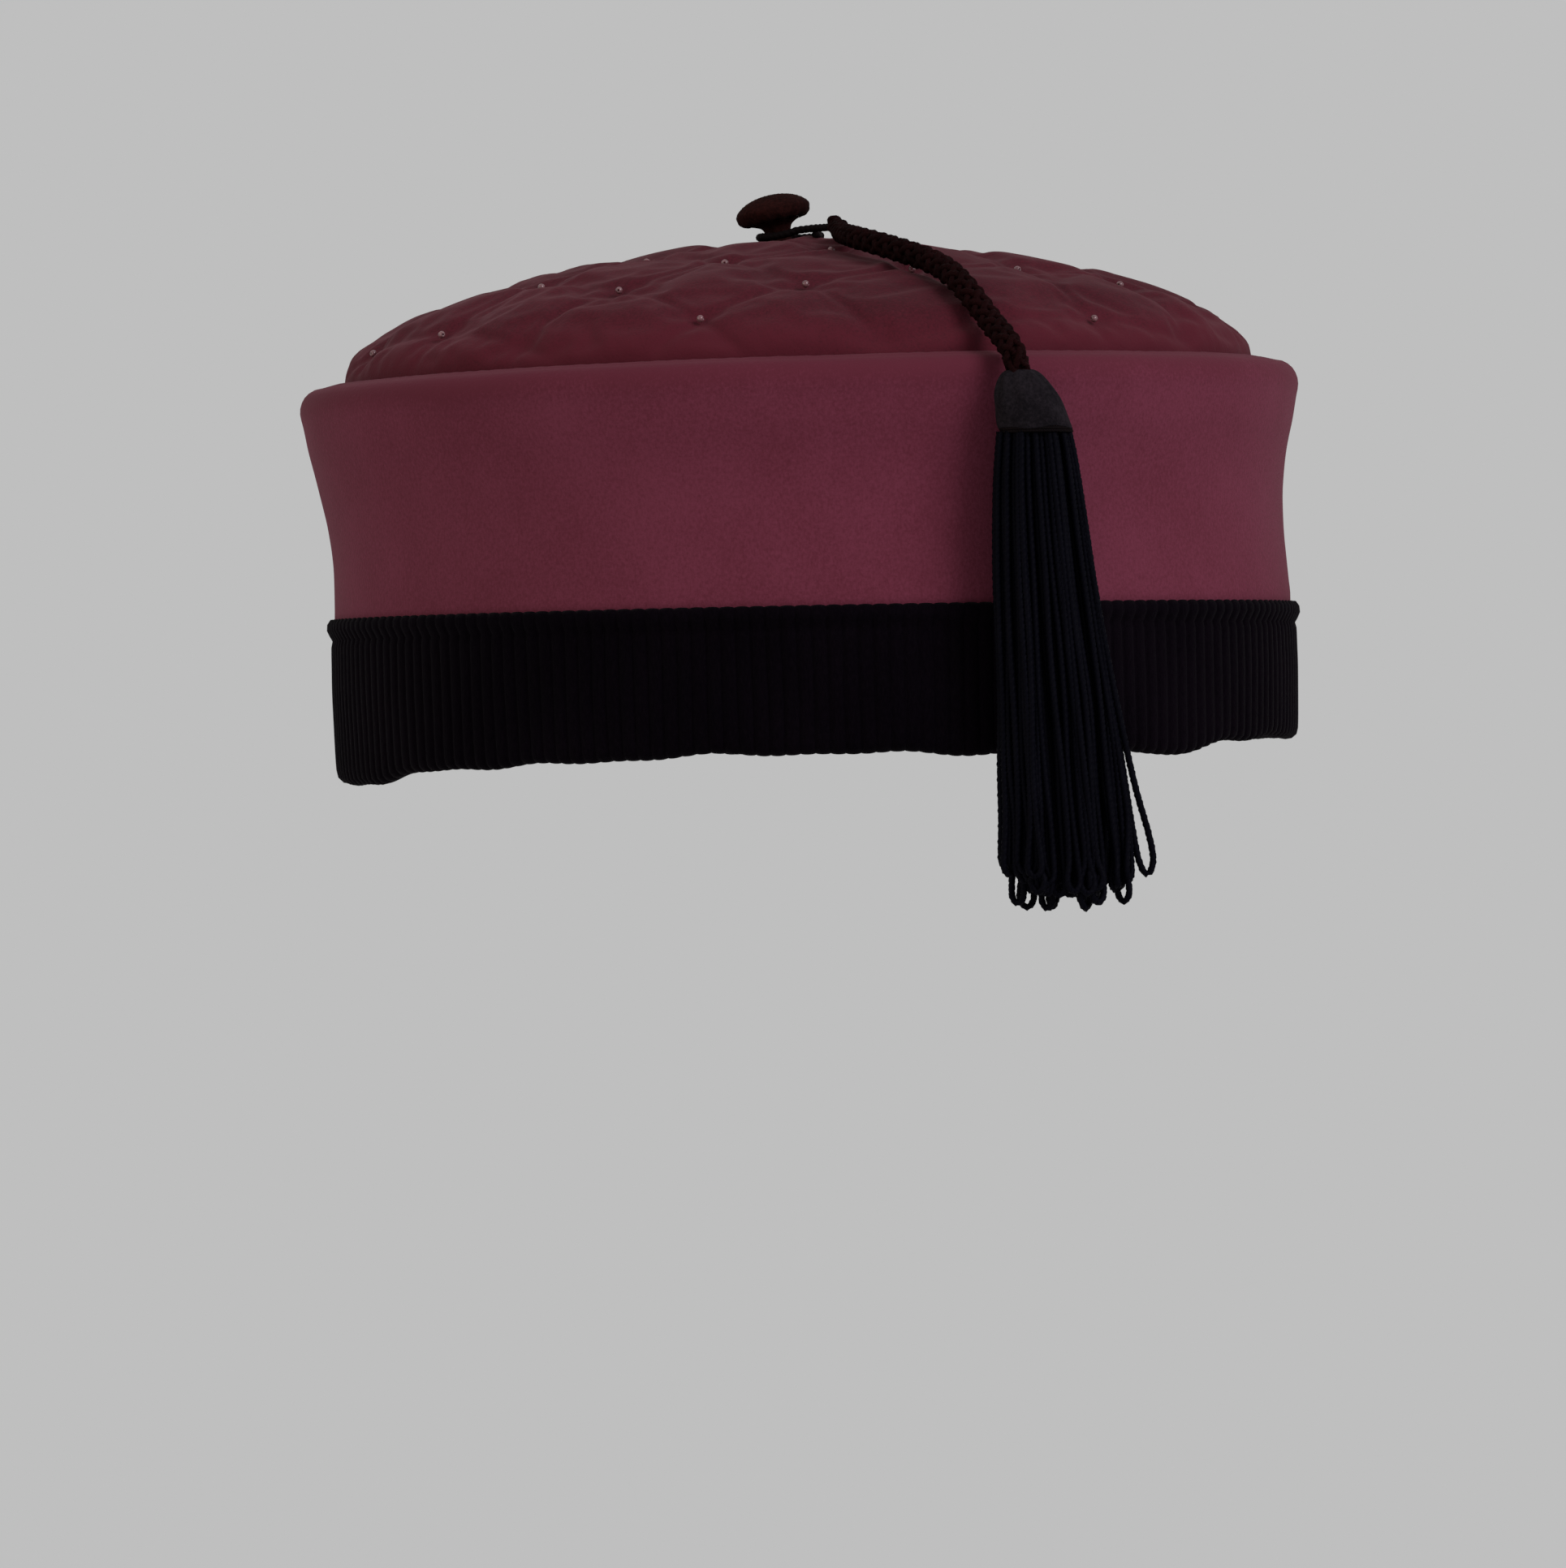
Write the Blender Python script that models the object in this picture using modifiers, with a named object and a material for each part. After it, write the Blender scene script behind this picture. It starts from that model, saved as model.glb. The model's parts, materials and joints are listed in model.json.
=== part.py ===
"""Round lounging cap: quilted and beaded crown, flared side band, ribbed hem band,
covered button, and a braided cord that carries a tassel.

Metres, +Z up. The origin is the centre of the head opening, in the plane of the hem.
The tassel hangs at -Y. The crown is one superellipse turned about an upright axis; its quilting
is a lattice of stitch lines laid over that surface, with a bead sewn on at each crossing. The
soft side wall leans a little towards -X above the hem band and carries the crown with it.
"""

import math

import bmesh
import bpy
import numpy as np
from mathutils import Matrix, Vector

MM = 0.001
GAP = 0.3 * MM

# Facets
TURN_STEPS = 56
DOME_STEPS = 32
DOME_RINGS = 5
BUTTON_STEPS = 20
TASSEL_STEPS = 20
SHANK_STEPS = 12
ARC_POINTS = 5
WALL_POINTS = 6
LOOP_POINTS = 32
CORD_POINTS = 14

# Crown
CROWN_RADIUS = 92.4 * MM
CROWN_BASE = 78.0 * MM
CROWN_RISE = 26.7 * MM
CROWN_SPREAD = 1.25
CROWN_LIFT = 1.1
CROWN_SEAM = 75.0 * MM
CROWN_CLOTH = 3.6 * MM
WADDING = 2.0 * MM
LINING = 0.5 * MM
CROWN_LINING_EDGE = (93.2 * MM, 72.6 * MM)
CROWN_LINING_RISE = 23.9 * MM

# Quilting
QUILT_SIDES = (26.1 * MM, 30.3 * MM)
QUILT_ANGLES = (math.radians(12.0), math.radians(99.7))
QUILT_ORIGIN = Vector((-10.0, -1.5)) * MM
QUILT_CELLS = 5
CELL_STEPS = 4
LINE_DEPTH = 1.6 * MM
TUFT_DEPTH = 0.8 * MM
TUFT_RADIUS = 4.0 * MM
BUTTON_DIMPLE = 2.0 * MM
BUTTON_DIMPLE_RADIUS = 10.0 * MM
BUTTON_SEAT = Vector((-3.05, 1.0)) * MM
BEAD_RADIUS = 1.0 * MM
BEAD_SEAM_MARGIN = 5.0 * MM
QUILT_SPARE = 16.0 * MM
QUILT_BACKING = (0.8, 25.0 * MM)

# Side band
RIM_RADIUS = 101.3 * MM
RIM_ROLL = 4.0 * MM
LEDGE_HEIGHT = 76.4 * MM
LEDGE_INNER = (93.0 * MM, 77.1 * MM)
LEDGE_EASE = 0.4 * MM
WALL_RADII = ((64.5, 99.7), (56.0, 97.7), (46.0, 96.8), (36.5, 96.9), (29.2, 97.2))
WALL_FOOT = 25.9 * MM
BAND_CLOTH = 1.2 * MM
STIFFENER = 0.8 * MM
LINING_RADIUS = 94.2 * MM
LINING_TOP = 71.4 * MM
WALL_LEAN = -0.0336
CROWN_SHIFT = WALL_LEAN * (CROWN_SEAM - WALL_FOOT)

# Hem band
HEM_RADIUS = 97.6 * MM
BAND_MIDDLE_RADIUS = 97.9 * MM
BAND_FOLD_RADIUS = 99.0 * MM
BAND_HEIGHT = 29.1 * MM
BAND_FOLD_HEIGHT = 2.0 * MM
BAND_NOTCH = (97.8 * MM, 25.0 * MM)
BAND_NOTCH_HEIGHT = 1.0 * MM
HEM_PLY_INNER = 96.3 * MM
HEM_TURN_UP = (93.4 * MM, 94.2 * MM, 14.0 * MM)
HEM_CLOTH = 1.7 * MM
HEM_ROUND = 1.3 * MM
SWEATBAND = (92.5 * MM, 93.1 * MM, 1.6 * MM, 33.0 * MM)

# Button
BUTTON_RADIUS = 7.6 * MM
BUTTON_HEIGHT = 5.3 * MM
BUTTON_CLOTH = 0.6 * MM
BUTTON_OPENING = 5.6 * MM
BUTTON_WAIST = 0.42
BUTTON_BACK = 0.8 * MM
BUTTON_PIVOT = Vector((-4.7, 1.0, 105.45)) * MM
BUTTON_TILT = math.radians(10.8)
BUTTON_LEAN = math.radians(157.5)
SHANK_RADIUS = 2.6 * MM
SHANK_FOOT = 103.25 * MM

# Cord and tassel
LOOP_RADIUS = 6.2 * MM
LOOP_CENTRE = Vector((-2.4, 0.2, 105.6)) * MM
LOOP_TURN = (-50.0, 228.0)
THREAD_RADIUS = 0.8 * MM
LOOP_TAIL = ((-3.6, -7.2, 105.7), (-1.6, -9.6, 105.9), (-0.5, -11.8, 106.1), (0.2, -14.2, 106.3))
KNOT_CENTRE = Vector((0.5, -16.8, 106.5)) * MM
KNOT_RADII = Vector((2.0, 2.0, 2.1)) * MM
CORD_RADIUS = 2.5 * MM
CORD_DRAWN_THIN = (0.78, 42.0 * MM)
CORD_ROUTE = (
    (0.4, -19.2, 106.2), (-2.0, -26.1, 105.1), (-4.4, -35.0, 104.0), (-6.0, -43.5, 102.7),
    (-5.6, -52.0, 101.1), (-3.9, -60.5, 99.1), (-1.9, -68.5, 96.8), (-0.9, -75.5, 94.3),
    (-0.8, -82.0, 91.5), (-0.7, -87.2, 88.6), (-0.3, -91.6, 85.4), (-0.1, -95.8, 82.6),
    (-0.2, -100.6, 80.1), (-0.5, -105.2, 77.6),
)
TASSEL_PIVOT = Vector((-0.7, -108.2, 75.4)) * MM
HEAD_OUTLINE = ((1.4, 72.6), (2.7, 72.4), (3.9, 71.1), (5.6, 68.2), (6.9, 64.8), (7.6, 62.5), (7.8, 61.1))
HEAD_CLOTH = 0.7 * MM
HEAD_FLATTENING = 0.8
HEAD_LEAN = 0.27
BINDING_HEIGHT = 60.4 * MM
BINDING_RADII = (7.0 * MM, 0.5 * MM)
SKIRT_BUNDLES = 22
SKIRT_GROOVE = 0.86
SKIRT_SCALLOP = 2.6 * MM
SKIRT_RINGS = (
    # height, half width, half depth, sideways drift
    (59.5, 7.2, 5.4, 3.1),
    (56.5, 8.4, 5.9, 3.2),
    (50.0, 9.1, 6.2, 3.4),
    (38.0, 10.2, 6.4, 4.1),
    (24.0, 11.5, 6.6, 5.2),
    (8.0, 13.0, 6.8, 6.5),
    (-8.0, 14.0, 6.9, 7.5),
    (-22.0, 14.4, 6.9, 8.4),
    (-31.2, 13.2, 6.3, 9.0),
)

# Colours: linear red, green and blue
WINE = (0.098, 0.018, 0.030)
DARK_WINE = (0.070, 0.012, 0.020)
BLACK_CORD = (0.010, 0.008, 0.011)
BROWN_KNIT = (0.020, 0.014, 0.014)
CHARCOAL = (0.028, 0.024, 0.028)
PEARL = (0.62, 0.42, 0.42)
LINING_SATIN = (0.16, 0.05, 0.06)
BUCKRAM = (0.55, 0.50, 0.40)
COTTON = (0.72, 0.68, 0.60)
RIBBON = (0.03, 0.02, 0.022)
TIN = (0.55, 0.54, 0.52)
BEECH = (0.50, 0.34, 0.19)


def clear_scene():
    for old in list(bpy.data.objects):
        bpy.data.objects.remove(old)


def new_collection(name):
    collection = bpy.data.collections.new(name)
    bpy.context.scene.collection.children.link(collection)
    return collection


def new_material(name, colour, roughness, metallic=0.0):
    material = bpy.data.materials.new(name)
    material.use_nodes = True
    shader = material.node_tree.nodes["Principled BSDF"]
    shader.inputs["Base Color"].default_value = (*colour, 1.0)
    shader.inputs["Roughness"].default_value = roughness
    shader.inputs["Metallic"].default_value = metallic
    return material


def add_mesh(name, form, material, collection):
    """An object from a bmesh, shaded smooth except at its sharp edges."""
    mesh = bpy.data.meshes.new(name)
    form.to_mesh(mesh)
    form.free()
    mesh.shade_smooth()
    mesh.set_sharp_from_angle(angle=math.radians(50))
    mesh.materials.append(material)
    part = bpy.data.objects.new(name, mesh)
    collection.objects.link(part)
    return part


def add_turned(name, profile, closed, steps, material, collection, centre=(0.0, 0.0)):
    """A profile of (radius, height) points turned by a Screw modifier about an upright axis."""
    form = bmesh.new()
    points = [form.verts.new((radius, 0.0, height)) for radius, height in profile]
    for first, second in zip(points, points[1:] + points[:1] * closed):
        form.edges.new((first, second))
    part = add_mesh(name, form, material, collection)
    screw = part.modifiers.new("turn", "SCREW")
    screw.steps = steps
    screw.render_steps = steps
    screw.use_merge_vertices = True
    screw.merge_threshold = 0.00001
    screw.use_smooth_shade = True
    part.location = (*centre, 0.0)
    return part


def add_spun(name, profile, steps, place, material, collection):
    """A closed profile spun about Z; every point is then moved to its place."""
    form = bmesh.new()
    points = [form.verts.new((radius, 0.0, height)) for radius, height in profile]
    edges = [form.edges.new(pair) for pair in zip(points, points[1:] + points[:1])]
    bmesh.ops.spin(
        form, geom=points + edges, cent=(0, 0, 0), axis=(0, 0, 1),
        angle=2 * math.pi, steps=steps, use_merge=True,
    )
    bmesh.ops.remove_doubles(form, verts=form.verts, dist=0.01 * MM)
    on_axis = [edge for edge in form.edges if not edge.link_faces]
    bmesh.ops.delete(form, geom=on_axis, context="EDGES")
    bmesh.ops.recalc_face_normals(form, faces=form.faces)
    for vert in form.verts:
        vert.co = place(vert.co)
    return add_mesh(name, form, material, collection)


def on_wall(point):
    """The place of a point of the wall, which leans above the hem band."""
    lean = WALL_LEAN * max(0.0, point.z - WALL_FOOT)
    return Vector((point.x + lean, point.y, point.z))


def on_tassel(point):
    """The place of a point of the tassel's head, pressed flat and leaning as it falls."""
    drop = HEAD_OUTLINE[0][1] * MM - point.z
    x = TASSEL_PIVOT.x + point.x + HEAD_LEAN * drop
    return Vector((x, TASSEL_PIVOT.y + point.y * HEAD_FLATTENING, point.z))


def add_tube(name, points, radii, resolution, material, collection):
    """A round tube along a polyline, with flat closed ends and a radius at each point."""
    curve = bpy.data.curves.new(name, "CURVE")
    curve.dimensions = "3D"
    curve.bevel_depth = 1.0
    curve.bevel_resolution = resolution
    curve.use_fill_caps = True
    spline = curve.splines.new("POLY")
    spline.points.add(len(points) - 1)
    for place, point, radius in zip(spline.points, points, radii):
        place.co = (*point, 1.0)
        place.radius = radius
    curve.materials.append(material)
    part = bpy.data.objects.new(name, curve)
    collection.objects.link(part)
    return part


def add_ball(name, centre, radii, segments, rings, material, collection):
    form = bmesh.new()
    bmesh.ops.create_uvsphere(form, u_segments=segments, v_segments=rings, radius=1.0)
    bmesh.ops.scale(form, vec=radii, verts=form.verts)
    part = add_mesh(name, form, material, collection)
    part.location = centre
    return part


def arc(centre, radii, start, end, count=ARC_POINTS):
    """Points along an ellipse in the (radius, height) plane, angles in degrees."""
    turns = np.radians(np.linspace(start, end, count))
    return [(centre[0] + radii[0] * math.cos(a), centre[1] + radii[1] * math.sin(a)) for a in turns]


def offset(profile, distance):
    """The profile moved to its right, seen along its direction, by that distance."""
    line = np.array(profile)
    along = np.gradient(line, axis=0)
    along /= np.linalg.norm(along, axis=1)[:, None]
    return [tuple(p) for p in line + distance * np.stack([along[:, 1], -along[:, 0]], axis=1)]


def smooth_line(points, count):
    """A Catmull-Rom curve through the points, read at evenly spaced places."""
    line = np.array(points, float)
    padded = np.vstack([2 * line[0] - line[1], line, 2 * line[-1] - line[-2]])
    fine = []
    for a, b, c, d in zip(padded, padded[1:], padded[2:], padded[3:]):
        for t in np.linspace(0, 1, 20, endpoint=False):
            fine.append(0.5 * (2 * b + (c - a) * t + (2 * a - 5 * b + 4 * c - d) * t**2
                               + (3 * b - a - 3 * c + d) * t**3))
    fine = np.array(fine + [line[-1]])
    walked = np.concatenate([[0], np.cumsum(np.linalg.norm(np.diff(fine, axis=0), axis=1))])
    places = np.linspace(0, walked[-1], count)
    return np.stack([np.interp(places, walked, fine[:, k]) for k in range(fine.shape[1])], axis=1)


# The crown's surface: a superellipse, measured along its arc from the top
CROWN_TURNS = np.linspace(0, math.pi / 2, 600)
CROWN_R = CROWN_RADIUS * np.sin(CROWN_TURNS) ** CROWN_SPREAD
CROWN_Z = CROWN_BASE + CROWN_RISE * np.cos(CROWN_TURNS) ** CROWN_LIFT
CROWN_ARC = np.concatenate([[0], np.cumsum(np.hypot(np.diff(CROWN_R), np.diff(CROWN_Z)))])
CROWN_REACH = CROWN_ARC[-1]
CROWN_LEAN = np.arctan2(-np.gradient(CROWN_Z), np.gradient(CROWN_R))


def crown_section(distance, depth):
    """(radius, height) on the crown at an arc distance from its top, sunk along the normal."""
    radius = np.interp(distance, CROWN_ARC, CROWN_R)
    height = np.interp(distance, CROWN_ARC, CROWN_Z) - max(0.0, distance - CROWN_REACH)
    lean = np.interp(distance, CROWN_ARC, CROWN_LEAN)
    return float(max(0.0, radius - depth * math.sin(lean))), float(height - depth * math.cos(lean))


def crown_point(flat, depth):
    """A place on the flat cloth, laid over the crown."""
    distance = flat.length
    radius, height = crown_section(distance, depth)
    toward = flat / distance if distance > 0 else Vector((1.0, 0.0))
    return Vector((toward.x * radius, toward.y * radius, height))


QUILT_A, QUILT_B = (
    Vector((math.cos(angle), math.sin(angle))) * side for side, angle in zip(QUILT_SIDES, QUILT_ANGLES)
)


def quilt_crossing(i, j):
    return QUILT_ORIGIN + i * QUILT_A + j * QUILT_B


def quilt_depth(u, v):
    """How far the cloth is drawn in at lattice place u, v: stitch lines, bead tufts, button."""
    across = u - math.floor(u)
    along = v - math.floor(v)
    puff = math.sqrt(max(0.0, 16 * across * (1 - across) * along * (1 - along)))
    flat = quilt_crossing(u, v)
    to_bead = (flat - quilt_crossing(round(u), round(v))).length
    pulled = LINE_DEPTH * (1 - puff) + TUFT_DEPTH * math.exp(-((to_bead / TUFT_RADIUS) ** 2))
    from_button = (flat - BUTTON_SEAT).length
    dimple = BUTTON_DIMPLE * math.exp(-((from_button / BUTTON_DIMPLE_RADIUS) ** 2))
    return max(pulled, dimple)


def dome_line(depth):
    """The plain dome at that depth under the crown, from the axis out to the seam."""
    shares = np.linspace(0, 1, DOME_RINGS + 1)
    distances = CROWN_REACH * np.sin(shares * math.pi / 2)
    return [(0.0, crown_section(0.0, depth)[1])] + [crown_section(d, depth) for d in distances[1:]]


def make_crown_top(material, parts, cutters):
    """The quilted cloth: a lattice grid laid over the dome, cut to a shell by a turned former."""
    form = bmesh.new()
    segments = 2 * QUILT_CELLS * CELL_STEPS
    bmesh.ops.create_grid(form, x_segments=segments, y_segments=segments, size=QUILT_CELLS)
    places = {vert: (vert.co.x, vert.co.y) for vert in form.verts}
    limit = CROWN_REACH + QUILT_SPARE
    outside = [vert for vert, place in places.items() if quilt_crossing(*place).length > limit]
    for vert, place in places.items():
        flat = quilt_crossing(*place)
        on_dome = flat.length < CROWN_REACH
        vert.co = crown_point(flat, quilt_depth(*place) if on_dome else 0.0)
    bmesh.ops.delete(form, geom=outside, context="VERTS")
    copied = bmesh.ops.extrude_face_region(form, geom=form.faces[:], use_keep_orig=True)
    inset, drop = QUILT_BACKING
    for item in copied["geom"]:
        if isinstance(item, bmesh.types.BMVert):
            item.co = Vector((inset * item.co.x, inset * item.co.y, item.co.z - drop))
    bmesh.ops.recalc_face_normals(form, faces=form.faces)
    part = add_mesh("crown_top", form, material, parts)
    part.location.x = CROWN_SHIFT

    above = CROWN_BASE + 2 * CROWN_RISE
    beyond = CROWN_RADIUS + CROWN_CLOTH
    inner = dome_line(CROWN_CLOTH)
    profile = [(0.0, above), (beyond, above), (beyond, CROWN_SEAM), (inner[-1][0], CROWN_SEAM)]
    centre = (CROWN_SHIFT, 0.0)
    former = add_turned("crown_former", profile + inner[::-1], False, DOME_STEPS, material, cutters, centre)
    former.hide_render = True
    former.display_type = "WIRE"
    cut = part.modifiers.new("shell", "BOOLEAN")
    cut.operation = "INTERSECT"
    cut.object = former


def make_crown_inside(wadding, satin, parts):
    upper = dome_line(CROWN_CLOTH + GAP)
    lower = dome_line(CROWN_CLOTH + GAP + WADDING)
    centre = (CROWN_SHIFT, 0.0)
    add_turned("crown_wadding", upper + lower[::-1], False, DOME_STEPS, wadding, parts, centre)

    edge_radius, edge_height = CROWN_LINING_EDGE
    shares = np.sin(np.linspace(0, 1, DOME_RINGS + 1) * math.pi / 2)
    top = [(float(edge_radius * s), float(edge_height + CROWN_LINING_RISE * (1 - s**1.6))) for s in shares]
    bottom = [(radius, height - LINING) for radius, height in top]
    add_turned("crown_lining", top + bottom[::-1], False, DOME_STEPS, satin, parts, centre)


def make_beads(material, parts):
    count = 0
    for i in range(-QUILT_CELLS, QUILT_CELLS + 1):
        for j in range(-QUILT_CELLS, QUILT_CELLS + 1):
            flat = quilt_crossing(i, j)
            if flat.length < CROWN_REACH - BEAD_SEAM_MARGIN:
                count += 1
                centre = crown_point(flat, quilt_depth(i, j) - GAP - BEAD_RADIUS)
                centre.x += CROWN_SHIFT
                radii = Vector((1, 1, 1)) * BEAD_RADIUS
                add_ball(f"crown_bead_{count:02d}", centre, radii, 6, 5, material, parts)
    print("beads sewn on the crown:", count)


def wall_line():
    """The side band's outer wall, from the rim's roll down to its foot."""
    rim = (RIM_RADIUS - RIM_ROLL, LEDGE_HEIGHT - RIM_ROLL)
    roll = arc(rim, (RIM_ROLL, RIM_ROLL), 90, -15)
    knots = [roll[-1]] + [(radius * MM, height * MM) for height, radius in WALL_RADII]
    wall = [tuple(p) for p in smooth_line(knots, WALL_POINTS)]
    return roll, wall + [(wall[-1][0], WALL_FOOT)]


def make_side(wine, buckram, satin, parts):
    roll, wall = wall_line()
    ledge_radius, ledge_top = LEDGE_INNER
    seam = [
        (ledge_radius, CROWN_SEAM),
        (ledge_radius, ledge_top - LEDGE_EASE),
        (ledge_radius + LEDGE_EASE, ledge_top),
    ]
    under_radius = ledge_radius + BAND_CLOTH
    under = [(under_radius, CROWN_SEAM), (under_radius, ledge_top - BAND_CLOTH)]
    shell = roll[:-1] + wall
    profile = seam + shell + offset(shell, BAND_CLOTH)[::-1] + under[::-1]
    add_spun("side_band", profile, TURN_STEPS, on_wall, wine, parts)

    outer = offset(wall, BAND_CLOTH + GAP)
    foot = HEM_CLOTH + GAP
    outer = [p for p in outer if p[1] < LINING_TOP] + [(outer[-1][0], foot)]
    inner = [(radius - STIFFENER, height) for radius, height in outer]
    add_spun("side_stiffener", outer + inner[::-1], TURN_STEPS, on_wall, buckram, parts)

    bottom = HEM_TURN_UP[2] + GAP
    inside = LINING_RADIUS - LINING
    levels = (LINING_TOP, WALL_FOOT, bottom)
    lining = [(LINING_RADIUS, level) for level in levels] + [(inside, level) for level in levels[::-1]]
    add_spun("side_lining", lining, TURN_STEPS, on_wall, satin, parts)


def make_hem(corduroy, ribbon, parts):
    """The ribbed band: a folded top edge, a stitched notch, and a hem turned up inside."""
    fold_inner = HEM_PLY_INNER + BAND_CLOTH
    fold_centre = (fold_inner, BAND_HEIGHT - BAND_FOLD_HEIGHT)
    fold = arc(fold_centre, (BAND_FOLD_RADIUS - fold_inner, BAND_FOLD_HEIGHT), 90, -55)
    turn_in, turn_out, turn_top = HEM_TURN_UP
    outside = [
        BAND_NOTCH,
        (BAND_MIDDLE_RADIUS, BAND_NOTCH[1] - BAND_NOTCH_HEIGHT),
        (BAND_MIDDLE_RADIUS, BAND_HEIGHT / 2),
    ]
    hem = arc((HEM_RADIUS - HEM_ROUND, HEM_ROUND), (HEM_ROUND, HEM_ROUND), 0, -90, 4)
    ease = HEM_ROUND / 2
    turned_up = arc((turn_in + ease, ease), (ease, ease), -90, -180, 3)
    inside = [
        (turn_in, turn_top),
        (turn_out, turn_top),
        (turn_out, HEM_CLOTH),
        (HEM_PLY_INNER, HEM_CLOTH),
        (HEM_PLY_INNER, BAND_NOTCH[1] - BAND_NOTCH_HEIGHT),
        (fold_inner, BAND_NOTCH[1] + GAP),
    ]
    add_turned("hem_band", fold + outside + hem + turned_up + inside, True, TURN_STEPS, corduroy, parts)

    inner, outer, bottom, top = SWEATBAND
    band = [(outer, top), (outer, bottom), (inner, bottom), (inner, top)]
    add_turned("sweatband", band, True, TURN_STEPS, ribbon, parts)


def make_button(knit, wood, tin, parts):
    """A covered button that rocks on the round end of its cloth shank."""
    lean = Vector((math.cos(BUTTON_LEAN), math.sin(BUTTON_LEAN), 0.0))
    pivot = bpy.data.objects.new("button_pivot", None)
    parts.objects.link(pivot)
    tilt = Matrix.Rotation(BUTTON_TILT, 4, Vector((0, 0, 1)).cross(lean))
    pivot.matrix_world = Matrix.Translation(BUTTON_PIVOT) @ tilt

    back = SHANK_RADIUS + GAP
    waist = back + BUTTON_WAIST * BUTTON_HEIGHT
    crown = back + BUTTON_HEIGHT - waist
    dome = arc((0.0, waist), (BUTTON_RADIUS, crown), 90, 0, 6)
    under = arc((BUTTON_OPENING, waist), (BUTTON_RADIUS - BUTTON_OPENING, waist - back), 0, -90, 4)
    outer = dome + under[1:]
    thin = BUTTON_RADIUS - BUTTON_CLOTH
    inner_dome = arc((0.0, waist), (thin, crown - BUTTON_CLOTH), 90, 0, 6)
    inner_radii = (thin - BUTTON_OPENING, waist - back - BUTTON_CLOTH)
    inner_under = arc((BUTTON_OPENING, waist), inner_radii, 0, -90, 4)
    inner = inner_dome + inner_under[1:]
    cover = add_turned("button_cover", outer + inner[::-1], False, BUTTON_STEPS, knit, parts)

    form_radius = thin - GAP
    floor = back + BUTTON_BACK + GAP
    form = arc((0.0, waist), (form_radius, crown - BUTTON_CLOTH - GAP), 90, 0, 6)
    form += [(BUTTON_OPENING, floor), (0.0, floor)]
    mould = add_turned("button_mould", form, False, BUTTON_STEPS, wood, parts)

    rim = BUTTON_OPENING - GAP
    plate = [(0.0, floor - GAP), (rim, floor - GAP), (rim, back), (0.0, back)]
    disc = add_turned("button_back", plate, False, BUTTON_STEPS, tin, parts)
    for piece in (cover, mould, disc):
        piece.parent = pivot

    top = arc((0.0, BUTTON_PIVOT.z), (SHANK_RADIUS, SHANK_RADIUS), 90, 0)
    stalk = top + [(SHANK_RADIUS, SHANK_FOOT), (0.0, SHANK_FOOT)]
    add_turned("button_shank", stalk, False, SHANK_STEPS, knit, parts, BUTTON_PIVOT.xy)


def make_cord(thread, braid, parts):
    """A thread loop round the shank, a knot, and the cord that lies over the crown to the rim."""
    turns = np.radians(np.linspace(*LOOP_TURN, LOOP_POINTS // 2))
    loop = [LOOP_CENTRE + LOOP_RADIUS * Vector((math.cos(a), math.sin(a), 0.0)) for a in turns]
    tail = [Vector(point) * MM for point in LOOP_TAIL]
    line = smooth_line(loop + tail, LOOP_POINTS)
    add_tube("cord_loop", line, [THREAD_RADIUS] * LOOP_POINTS, 2, thread, parts)
    add_ball("cord_knot", KNOT_CENTRE, KNOT_RADII, 12, 8, braid, parts)

    route = smooth_line(np.array(CORD_ROUTE) * MM, CORD_POINTS)
    steps = np.linalg.norm(np.diff(route, axis=0), axis=1)
    walked = np.concatenate([[0], np.cumsum(steps)])
    thin, reach = CORD_DRAWN_THIN
    radii = CORD_RADIUS * np.interp(walked, (0, reach), (thin, 1.0))
    add_tube("tassel_cord", route, radii, 4, braid, parts)
    length = float(steps.sum())
    print("cord over the crown:", round(length / MM, 1), "mm")
    add_ball("cord_bend", TASSEL_PIVOT, Vector((1, 1, 1)) * CORD_RADIUS, 12, 8, braid, parts)


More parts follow.
